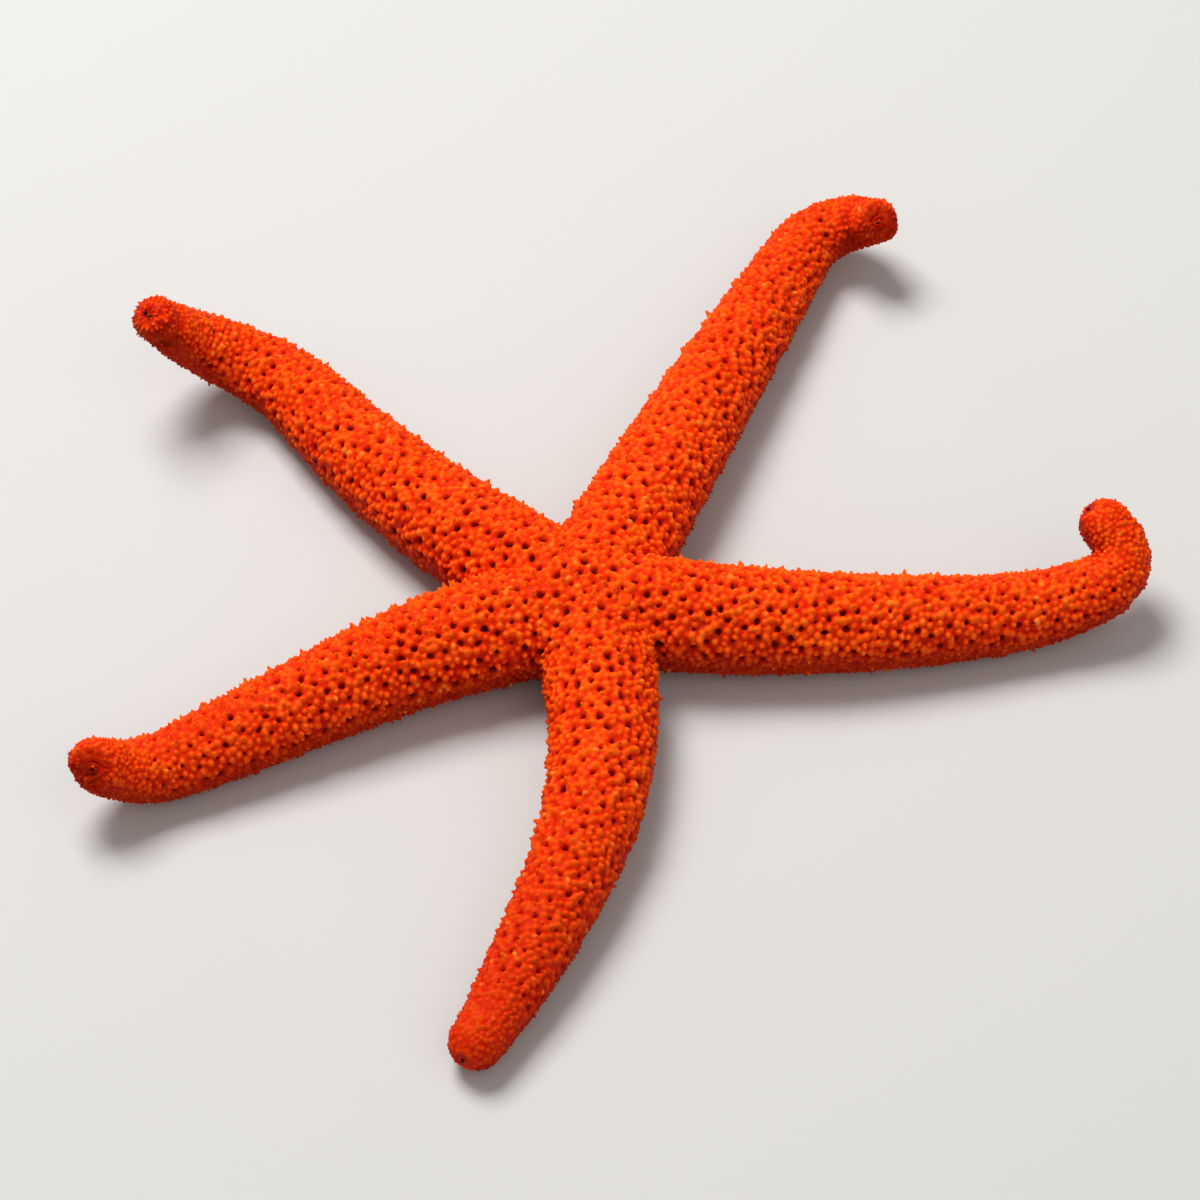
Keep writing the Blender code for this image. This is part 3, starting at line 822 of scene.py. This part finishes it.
def mark(mesh, places, each=1, **marks):
    """Marks the vertices of a mesh for its material, with so many of them for each place."""
    marks["flank"] = np.repeat(places.off() / math.pi, each)
    marks["red"] = np.repeat(redness_at(places), each)
    for name, values in marks.items():
        attribute = mesh.attributes.new(name, "FLOAT", "POINT")
        attribute.data.foreach_set("value", np.ascontiguousarray(values))


def lift(mesh, places, height, lowest):
    """Moves the places of a mesh off the plain body, and never below the lowest level."""
    lifted = places.points + places.normals * height[:, None]
    lifted[:, 2] = np.maximum(lifted[:, 2], lowest)
    mesh.vertices.foreach_set("co", lifted.ravel())
    mesh.update()


def finish_piece(made):
    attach(made, BODY)


def build_skin(plain):
    """The skin of the whole animal, sunk below the network and bare in the grooves."""
    skin = even_copy("skin", plain, SKIN_VOXEL)
    places = Places(*places_and_normals(skin.data))
    under = 1 - smooth_step(*BORDER_ANGLES, places.below())
    height = -SKIN_SINK * under - hollow_at(places)[1]
    lift(skin.data, places, height, SOLE)
    same = np.ones(len(places.points))
    mark(skin.data, places, rise=BARE_RISE * same, tint=same / 2)
    finish_piece(skin)
    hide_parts(*FLESH)


def raise_network(network, pits, nubs):
    """Lifts the nubs and sinks the pits, marking each place for the material."""
    places = Places(*places_and_normals(network.data))
    level, pit, nearest_pit = level_at(places, pits)
    humps, which = humps_at(places, nubs)
    inside, _ = hollow_at(places)
    humps += smooth_step(*WHORL_EDGE, inside) * (whorl_at(places) - humps)
    hump = humps / places.sized(NUB_TALL)
    face = face_at(places)
    height = level + humps * (1 - NUBLESS_PIT * pit) * (1 - NUBLESS_FACE * face)
    lift(network.data, places, height, NETWORK_SOLE)
    # Painted shade between the nubs on the sides
    side = smooth_step(*SIDE_ANGLES, places.off())
    low = BETWEEN_RISE - SIDE_PAINTED_SHADE * side
    first, last = CROWN_SHARES
    rise = low + (1 - low) * smooth_step(first, last + SIDE_LATER * side, hump)
    # In the pits the rise falls to nothing, partly their own maroon and partly painted shade; in
    # the creases it sinks as painted shade
    rise *= (1 - pit) * (1 - CREASE_PAINTED_SHADE * crease_at(places)[0])
    # In the hollows the rise sinks as painted shade
    rise *= (1 - FACE_DARKER * face) * (1 - HOLLOW_PAINTED_SHADE * inside)
    mark(network.data, places, rise=rise, tint=nubs.tint[which],
         purple=pit * pits.purple[nearest_pit])
    return places


def split_off(network, wanted, name):
    """Takes the wanted faces out of a mesh as an object of their own."""
    choose(network)
    mode("EDIT")
    bpy.ops.mesh.select_mode(type="FACE")
    bpy.ops.mesh.select_all(action="DESELECT")
    mode("OBJECT")
    network.data.polygons.foreach_set("select", wanted)
    mode("EDIT")
    bpy.ops.mesh.separate(type="SELECTED")
    bpy.ops.mesh.select_mode(type="VERT")
    mode("OBJECT")
    made = next(other for other in bpy.context.selected_objects if other != network)
    made.name = name
    return made


def add_unwrap(made, number):
    """The unwrap of a network piece: along its arm, and round it from edge to edge."""
    places, _ = places_and_normals(made.data)
    share, angle, _ = lay_on(ARMS[ARM_NAMES[number]], places)
    uv = made.data.uv_layers.new(name="OFBake")
    flat = unwrap_at(np.full(len(share), number), share, angle)
    uv.data.foreach_set("uv", flat[loop_corners(made.data)].ravel())


def build_network(plain, pits, nubs):
    """The pitted network over the back and sides, one piece for each arm."""
    network = even_copy("network", plain, NETWORK_VOXEL)
    places = raise_network(network, pits, nubs)
    first = loop_corners(network.data)[::4]
    shown = places.below()[first] < LAST_ANGLE
    number = np.where(shown, places.number[first], -1)
    for count, name in enumerate(ARM_NAMES):
        made = split_off(network, number == count, "network_" + name)
        number = number[number != count]
        add_unwrap(made, count)
        finish_piece(made)
    bpy.data.objects.remove(network)


def extrude_by(*step):
    move = {"value": step, "orient_type": "GLOBAL"}
    bpy.ops.mesh.extrude_region_move(TRANSFORM_OT_translate=move)


def round_form(rings, sides, tip, x=0, y=0):
    """A circle extruded from ring to ring and closed at its tip, left in edit mode."""
    first_radius, first_height = rings[0]
    bpy.ops.mesh.primitive_circle_add(vertices=sides, radius=first_radius,
                                      location=(x, y, first_height))
    form = settled()
    mode("EDIT")
    for (radius, height), (next_radius, next_height) in zip(rings, rings[1:]):
        extrude_by(0, 0, next_height - height)
        shrink = next_radius / radius
        bpy.ops.transform.resize(value=(shrink, shrink, 1), center_override=(x, y, next_height))
    extrude_by(0, 0, tip - rings[-1][1])
    bpy.ops.mesh.merge(type="CENTER")
    bpy.ops.mesh.select_all(action="SELECT")
    return form


def small_shape(rings, sides, tip=1.0):
    """A small round shape to be copied many times."""
    shape = round_form(rings, sides, tip)
    bpy.ops.mesh.quads_convert_to_tris()
    face_outwards()
    return taken_apart(shape)


def taken_apart(shape):
    """A model's vertices and triangles as arrays; the model itself is removed."""
    places, _ = places_and_normals(shape.data)
    corners = triangles_of(shape.data)
    bpy.data.objects.remove(shape)
    return places, corners


def across(normals, rng):
    """Two directions square to each normal, turned at random round it."""
    helper = np.where(np.abs(normals[:, 2:]) < 0.9, (0, 0, 1), (1, 0, 0))
    first = unit(np.cross(helper, normals))
    second = np.cross(normals, first)
    turn = rng.uniform(0, math.tau, len(normals))[:, None]
    return (first * np.cos(turn) + second * np.sin(turn),
            second * np.cos(turn) - first * np.sin(turn))


def leaning(normals, amount, rng):
    """Directions near the normals, each leaning its own way."""
    return unit(normals + rng.normal(0, amount, normals.shape))


def axes_of(outward, wide, tall, rng):
    """Three scaled axes for each copy, a little wider one way than the other."""
    first, second = across(outward, rng)
    stretch = rng.uniform(*STRETCH, len(outward))
    return np.stack([first * (wide * stretch)[:, None], second * (wide / stretch)[:, None],
                     outward * tall[:, None]], axis=1)


def joined_copies(shape, places, axes, rise, material):
    """One mesh of many copies of a small shape, each along its own three scaled axes."""
    model, corners = shape
    count = len(places.points)
    spots = places.points[:, None, :] + np.einsum("vk,nkc->nvc", model, axes)
    faces = corners[None, :, :] + (np.arange(count) * len(model))[:, None, None]
    mesh = bpy.data.meshes.new("copies")
    mesh.vertices.add(count * len(model))
    mesh.vertices.foreach_set("co", spots.ravel())
    mesh.loops.add(faces.size)
    mesh.loops.foreach_set("vertex_index", faces.ravel())
    mesh.polygons.add(count * len(corners))
    mesh.polygons.foreach_set("loop_start", np.arange(0, faces.size, 3))
    mesh.polygons.foreach_set("loop_total", np.full(count * len(corners), 3))
    mesh.update(calc_edges=True)
    mesh.validate()
    each = len(model)
    mark(mesh, places, each, rise=np.tile(rise, count), tint=np.repeat(places.tint, each))
    flat = model[corners.ravel(), :2] * PATCH / 2 / np.abs(model[:, :2]).max()
    unwrap = unwrap_at(places.number, places.share, places.angle)
    uv = mesh.uv_layers.new(name="OFBake")
    uv.data.foreach_set("uv", (unwrap[:, None, :] + flat[None, :, :]).ravel())
    mesh.shade_smooth()
    mesh.materials.append(material)
    return new_object("copies", mesh)


def unwrap_at(number, share, angle):
    """A place on the unwrap of the skin: one strip for each arm."""
    across_strip = (number + 0.5 + STRIP_HALF * angle / math.pi) / len(ARMS)
    return np.column_stack([STRIP_START + STRIP_LONG * share, across_strip])


def joined(name, parts):
    """Several meshes as one finished piece, without the empty ones."""
    for part in [part for part in parts if not part.data.vertices]:
        parts.remove(part)
        bpy.data.objects.remove(part)
    choose(parts[0])
    for part in parts:
        part.select_set(True)
    bpy.ops.object.join()
    made = bpy.context.object
    made.name = name
    finish_piece(made)
    return made


def crown_of(shape, low, high):
    """The rise of each vertex of a small shape: low at its foot and high on its crown, so the foot
    is darker, partly the flesh's own colour and partly painted shade where it meets the flesh.
    """
    return low + (high - low) * smooth_step(*CROWN_HEIGHTS, shape[0][:, 2])


def add_to_arms(coats, shape, places, axes, rises):
    """Copies of a small shape at the places, as one mesh more in each arm's coat."""
    rise = crown_of(shape, *rises)
    for number, coat in enumerate(coats):
        own = places.number == number
        coat.append(joined_copies(shape, places.only(own), axes[own], rise, flesh_material()))


def grow_coat(pits, nubs, granules, rng):
    """Beads on the sides, cones on the back, spinelets at the tips and granules below."""
    chance = rng.random(len(nubs.points))
    spinelet = face_at(nubs) > SPINELET_FROM
    cone = ~spinelet & (chance > 1 - of_arm(POINTED.values(), nubs.number))
    bead = ~spinelet & ~cone & (chance < smooth_step(*BEAD_ANGLES, nubs.off()))
    nubs.points += nubs.normals * level_at(nubs, pits)[0][:, None]
    coats = [[] for _ in ARM_NAMES]
    for kind, chosen in (("bead", bead), ("cone", cone), ("spinelet", spinelet)):
        rings, wide, tall, lean, rises = COAT[kind]
        few = nubs.only(chosen)
        tall = few.tall * tall
        if kind == "spinelet":
            away, out = from_end(few)
            few.normals += out * RADIATING
            tall *= 1 - FACE_SHORTER * smooth_step(*FACE_EDGE, away)
        outward = leaning(few.normals, lean, rng)
        axes = axes_of(outward, few.wide * wide, tall, rng)
        add_to_arms(coats, small_shape(*rings), few, axes, rises)
    level = level_at(granules, pits)[0]
    granules.points += granules.normals * np.maximum(level, 0)[:, None]
    granules.points[:, 2] = np.maximum(granules.points[:, 2], SOLE)
    size = rng.uniform(*GRANULE_SIZES, len(granules.points))
    axes = axes_of(granules.normals, GRANULE_WIDE * size, GRANULE_TALL * size, rng)
    add_to_arms(coats, small_shape(*GRANULE), granules, axes, GRANULE_RISES)
    for name, coat in zip(ARM_NAMES, coats):
        joined("beads_" + name, coat)


def place_granules(body, rng):
    """Fine granules on the underside, between the network's border and the grooves."""
    granules = scattered(body.data, GRANULE_TRIES, rng)
    low, high = GRANULE_ANGLES
    granules = granules.only((granules.off() > low) & (granules.off() < high))
    granules.points[:, 2] = np.maximum(granules.points[:, 2], SOLE)
    granules = granules.spaced(GRANULE_SPACING)
    from_mouth = np.linalg.norm(granules.points[:, :2] - np.array(DISC)[:2], axis=1)
    granules = granules.only(from_mouth > MOUTH_RADIUS * MOUTH_BARE)
    granules.tint = rng.random(len(granules.points))
    return granules


def groove_row(number, along, uneven, way, offset, upwards, rng):
    """A row of places in the groove of one arm, for copies that point down."""
    arm = ARMS[ARM_NAMES[number]]
    along = along + rng.normal(0, uneven[0], len(along))
    sideways = way * (offset + rng.normal(0, uneven[1], len(along)))
    station = np.searchsorted(arm.along, along).clip(0, STATIONS)
    side, up, radius = arm.side[station], arm.up[station], arm.radius[station]
    from_axis = (side * sideways[:, None] + up * upwards) * radius[:, None]
    row = Places(arm.centre[station] + from_axis, -up)
    row.number[:] = number
    row.share = station / STATIONS
    row.angle = np.sign(sideways) * (math.pi - np.abs(sideways))
    row.tint = rng.random(len(along))
    return row, side, radius


def grow_feet(rng):
    """Four staggered rows of tube feet in each groove, down to the sole."""
    shape = small_shape(*FOOT, FOOT_TIP)
    rise = FOOT_RISE + FOOT_PALER * smooth_step(*FOOT_SUCKER, shape[0][:, 2])
    for number, (name, arm) in enumerate(ARMS.items()):
        stop = arm.along[-1] * GROOVE_STOP + FOOT_PAST
        rows = []
        for count, offset in enumerate(FOOT_ROWS):
            along = np.arange(FIRST_FOOT + FOOT_STEP * (count % 2) / 2, stop, FOOT_STEP)
            row, _, radius = groove_row(number, along, FOOT_UNEVEN, 1, offset, FOOT_ROOT, rng)
            tall = (AXIS_HEIGHT + FOOT_ROOT) * radius - FLOOR_GAP
            tall -= rng.uniform(0, FOOT_RAISED, len(along))
            tall *= 1 - FOOT_SHORTER * smooth_step(*FOOT_SHORTENS, row.share)
            outward = leaning(row.normals, FOOT_LEAN, rng)
            wide = FOOT_WIDE * radius * rng.uniform(*FOOT_WIDTHS, len(along))
            axes = axes_of(outward, wide, tall, rng)
            rows.append(joined_copies(shape, row, axes, rise, foot_material()))
        joined("tube_feet_" + name, rows)


def grow_groove_spines(rng):
    """Two rows of short blunt spines down each edge of every groove."""
    shape = small_shape(*SPINELET)
    rise = crown_of(shape, *SPINE_RISES)
    for number, (name, arm) in enumerate(ARMS.items()):
        along = np.arange(FIRST_SPINE, arm.along[-1] * GROOVE_STOP, SPINE_STEP)
        rows = []
        for way, (offset, lean) in product((-1, 1), SPINE_ROWS):
            row, side, radius = groove_row(number, along, SPINE_UNEVEN, way, offset,
                                           SPINE_LONG - AXIS_HEIGHT, rng)
            outward = leaning(row.normals + way * lean * side, SPINE_LEAN, rng)
            tall = (SPINE_LONG * radius - FLOOR_GAP) * rng.uniform(*SPINE_LENGTHS, len(along))
            axes = axes_of(outward, SPINE_WIDE * radius, tall, rng)
            rows.append(joined_copies(shape, row, axes, rise, foot_material()))
        joined("groove_spines_" + name, rows)


class Nodes:
    """A material's node tree, with one short call for each kind of node."""

    def __init__(self, name):
        self.material = bpy.data.materials.new(name)
        self.material.use_nodes = True
        self.tree = self.material.node_tree
        self.shader = self.tree.nodes["Principled BSDF"]

    def add(self, kind, output, inputs=(), **settings):
        """Adds a node, feeds its inputs and gives back one of its outputs."""
        node = self.tree.nodes.new(kind)
        give(node, settings)
        for place, value in inputs:
            self.feed(node.inputs[place], value)
        return node.outputs[output]

    def feed(self, socket, value):
        if isinstance(value, bpy.types.NodeSocket):
            self.tree.links.new(value, socket)
        else:
            socket.default_value = value

    def set(self, **values):
        for name, value in values.items():
            self.feed(self.shader.inputs[name.replace("_", " ")], value)

    def attribute(self, name):
        return self.add("ShaderNodeAttribute", "Fac", attribute_name=name)

    def math(self, operation, *values, clamp=False):
        return self.add("ShaderNodeMath", 0, enumerate(values), operation=operation,
                        use_clamp=clamp)

    def band(self, value, low, high):
        """How far a value has come from low to high, held between 0 and 1."""
        slope = 1 / (high - low)
        return self.math("MULTIPLY_ADD", value, slope, -low * slope, clamp=True)

    def mix(self, share, one, two):
        return self.add("ShaderNodeMix", MIX_RESULT, zip(MIX_SOCKETS, (share, one, two)),
                        data_type="RGBA")

    def noise(self, scale, detail=3.0):
        place = self.add("ShaderNodeTexCoord", "Object")
        inputs = (("Vector", place), ("Scale", scale), ("Detail", detail))
        return self.add("ShaderNodeTexNoise", "Fac", inputs)

    def ramp(self, value, stops):
        colour = self.add("ShaderNodeValToRGB", "Color", [("Fac", value)])
        elements = colour.node.color_ramp.elements
        elements[0].position, elements[0].color = stops[0]
        elements[1].position, elements[1].color = stops[-1]
        for position, between in stops[1:-1]:
            elements.new(position).color = between
        return colour

    def roughen(self, scale):
        """A fine bump, for grain too small to model."""
        inputs = (("Height", self.noise(scale, 2.0)), ("Strength", 0.25), ("Distance", GRAIN))
        self.feed(self.shader.inputs["Normal"], self.add("ShaderNodeBump", "Normal", inputs))


@cache
def flesh_material():
    """Orange skin: maroon in the pits, red between the nubs and low on the sides, partly its own
    colour and partly painted shade, with painted highlights on a few crowns.
    """
    nodes = Nodes("living_flesh")
    mottled = nodes.math("MULTIPLY_ADD", nodes.noise(MOTTLE_SCALE), MOTTLING, -MOTTLING / 2)
    height = nodes.math("ADD", nodes.attribute("rise"), mottled)
    # Dark in the pits and between the nubs: partly the flesh's own colour, partly painted shade
    skin = nodes.ramp(height, RISE_COLOURS)
    patchy = nodes.band(nodes.noise(PATCH_SCALE), *PATCHES)
    patched = nodes.mix(patchy, skin, nodes.mix(PATCH_REDDER, skin, RED_PATCH))
    redder = nodes.mix(nodes.math("MULTIPLY", nodes.attribute("red"), TIP_REDDER), patched,
                       nodes.mix(TIP_DEEPER, patched, DEEP_RED))
    # Deep red-brown low on the sides: partly the flesh's own colour, partly painted shade
    flank = nodes.band(nodes.attribute("flank"), *FLANK_SHARES)
    shaded = nodes.mix(nodes.math("MULTIPLY", flank, FLANK_DARKER), redder, FLANK_COLOUR_AND_SHADE)
    tint = nodes.math("MULTIPLY", nodes.attribute("tint"), TINTED)
    tinted = nodes.mix(tint, shaded, nodes.mix(TINT_BRIGHTER, shaded, BRIGHT_ORANGE))
    # Painted highlights: bright specks on the highest crowns of a few nubs
    crown = nodes.band(height, *GLINT_RISE)
    few = nodes.band(nodes.attribute("tint"), *GLINT_TINT)
    glinted = nodes.mix(nodes.math("MULTIPLY", crown, few), tinted, GLINT_COLOUR)
    colour = nodes.mix(nodes.attribute("purple"), glinted, PURPLE)
    nodes.set(Base_Color=colour, Roughness=0.46, Specular_IOR_Level=0.035,
              Subsurface_Weight=0.10, Subsurface_Radius=(1.0, 0.15, 0.05),
              Subsurface_Scale=0.0005)
    nodes.roughen(GRAIN_SCALE)
    return nodes.material


@cache
def foot_material():
    """Tube feet: soft pale orange, paler at the suckers."""
    nodes = Nodes("tube_feet")
    colour = nodes.ramp(nodes.attribute("rise"), FOOT_COLOURS)
    nodes.set(Base_Color=colour, Roughness=0.35, Specular_IOR_Level=0.2,
              Subsurface_Weight=0.2, Subsurface_Radius=(1.0, 0.4, 0.2),
              Subsurface_Scale=0.0005)
    return nodes.material


def node_material(name, dark, pale, scale, roughness, specular):
    """A mottled material for one of the small parts."""
    nodes = Nodes(name)
    nodes.set(Base_Color=nodes.mix(nodes.noise(scale), dark, pale), Roughness=roughness,
              Specular_IOR_Level=specular)
    nodes.roughen(scale * 2)
    return nodes.material


def in_place_of(node, name, parts, material):
    """Several meshes of one material as one finished piece, in place of a node."""
    for part in parts:
        part.data.materials.clear()
        part.data.materials.append(material)
    made = joined(name, parts)
    made.data.shade_smooth()
    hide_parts(node)


def add_pad(place, sizes, axes):
    """A rounded pad: a ball with a half-size along each of three axes."""
    bpy.ops.mesh.primitive_uv_sphere_add(segments=PAD_SEGMENTS, ring_count=PAD_RINGS, radius=1)
    turn = Matrix([Vector(axis) * size for axis, size in zip(axes, sizes)]).transposed()
    bpy.context.object.matrix_world = Matrix.Translation(place) @ turn.to_4x4()
    pad = settled()
    if turn.determinant() < 0:
        pad.data.flip_normals()
    return pad


def add_eyes():
    """A small dark eye cushion in the end of each arm, or two dots side by side."""
    finish = node_material("eyespot", *EYE_FINISH)
    for name, arm in ARMS.items():
        deselect()
        middle, outward = hollow_middle(name)
        place = Vector(middle - outward * (HOLLOWS[name][1] - EYE_SINK))
        axes = (arm.side[-1], arm.up[-1], arm.forward[-1])
        side = Vector(arm.side[-1]) * DOT_APART
        if name == FACED:
            place += Vector(outward) * FACE_SWELL
            pads = [add_pad(place + side * way, (DOT_RADIUS,) * 3, axes) for way in (-1, 1)]
        else:
            pads = [add_pad(place, (EYE_RADIUS,) * 3, axes)]
        in_place_of("eyespot_" + name, "eye_" + name, pads, finish)


def jaw_headings():
    """The headings half way between neighbouring arms."""
    headings = sorted(math.radians(arm.heading) for arm in ARMS.values())
    after = headings[1:] + [headings[0] + math.tau]
    return [(one + two) / 2 for one, two in zip(headings, after)]


def add_membrane():
    """The mouth's membrane, from the wall of its well down into the throat."""
    membrane = round_form(MEMBRANE, MEMBRANE_SIDES, THROAT, DISC.x, DISC.y)
    face_outwards()
    return membrane


def add_mouth():
    """The mouth: its membrane, and five jaws with short spines over the throat."""
    deselect()
    parts = [add_membrane()]
    half = JAW_SPINE_LONG / 2
    inwards, down, together = JAW_SPINE_LEAN
    for heading in jaw_headings():
        out = Vector((math.cos(heading), math.sin(heading), 0))
        side = UP.cross(out)
        jaw = DISC_FOOT + out * JAW_DISTANCE + UP * JAW_HEIGHT
        parts.append(add_pad(jaw, JAW_SIZE, (out, side, UP)))
        for sideways, distance in JAW_SPINES:
            point = (-out * inwards - UP * down - side * sideways * together).normalized()
            root = DISC_FOOT + out * distance + side * sideways + UP * JAW_SPINE_HEIGHT
            across_it = point.cross(UP).normalized()
            middle = root + point * half * JAW_SPINE_OUT
            parts.append(add_pad(middle, (half, JAW_SPINE_WIDE, JAW_SPINE_WIDE),
                                 (point, across_it, point.cross(across_it))))
    finish = node_material("mouth_flesh", *MOUTH_FINISH)
    in_place_of("mouth", "mouth_parts", parts, finish)


def add_sieve_plate():
    """The sieve plate: a low dome with fine ridges that run out from its middle."""
    deselect()
    low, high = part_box("madreporite")
    middle = (low + high) / 2
    radius = (high.x - low.x) / 2
    level = high.z - PLATE_TALL - PLATE_SINK
    bpy.ops.mesh.primitive_uv_sphere_add(segments=PLATE_SEGMENTS, ring_count=PLATE_RINGS,
                                         radius=radius, location=(middle.x, middle.y, level))
    bpy.context.object.scale.z = PLATE_TALL / radius
    plate = settled()
    step = math.tau / PLATE_SEGMENTS

    def in_furrow(place):
        turn = round(math.atan2(place.y - middle.y, place.x - middle.x) / step)
        return bool(turn % 2) and math.dist(place[:2], middle[:2]) > PLATE_BARE * radius

    pick(plate, in_furrow)
    bpy.ops.transform.resize(value=FURROW, center_override=(middle.x, middle.y, level))
    mode("OBJECT")
    finish = node_material("sieve_plate", *PLATE_FINISH)
    in_place_of("madreporite", "sieve", [plate], finish)


def aim(made, direction):
    """Turns a light or camera to look in a direction."""
    made.rotation_mode = "QUATERNION"
    made.rotation_quaternion = direction.to_track_quat("-Z", "Y")


def build_stage():
    """A plain pale floor and soft studio light, strongest from above and behind."""
    bpy.ops.mesh.primitive_plane_add(size=FLOOR_SIZE)
    floor = bpy.context.object
    floor.name = "floor"
    nodes = Nodes("pale_floor")
    nodes.set(Base_Color=(0.64, 0.63, 0.61, 1), Roughness=0.9)
    floor.data.materials.append(nodes.material)
    for name, place, size, power in LIGHTS:
        bpy.ops.object.light_add(type="AREA", location=place)
        light = bpy.context.object
        light.name = name
        light.data.size = size
        light.data.energy = power
        aim(light, -Vector(place))
    world = bpy.data.worlds.new("studio")
    world.use_nodes = True
    light = world.node_tree.nodes["Background"].inputs
    light["Color"].default_value = WORLD_COLOUR
    light["Strength"].default_value = WORLD_STRENGTH
    bpy.context.scene.world = world
    bpy.context.scene.view_settings.view_transform = "Standard"


def add_camera():
    """The photo's view: from the front, half way up, through a long lens."""
    elevation = math.radians(CAMERA_ELEVATION)
    back = Vector((0, -math.cos(elevation), math.sin(elevation)))
    target = DISC_FOOT + Vector(CAMERA_TARGET)
    made = new_object("camera", bpy.data.cameras.new("camera"))
    give(made.data, {"lens": CAMERA_LENS, "sensor_width": CAMERA_SENSOR, "clip_start": 0.01})
    made.location = target + back * CAMERA_DISTANCE
    aim(made, -back)
    bpy.context.scene.camera = made


def main():
    rng = np.random.default_rng(SEED)
    plain = plain_body()
    even = even_copy("even", plain, SKIN_VOXEL)
    pits = place_pits(even, rng)
    nubs = place_nubs(even, pits, rng)
    granules = place_granules(even, rng)
    bpy.data.objects.remove(even)
    build_skin(plain)
    build_network(plain, pits, nubs)
    grow_coat(pits, nubs, granules, rng)
    grow_feet(rng)
    grow_groove_spines(rng)
    bpy.data.objects.remove(plain)
    add_eyes()
    add_mouth()
    add_sieve_plate()
    build_stage()
    add_camera()


main()
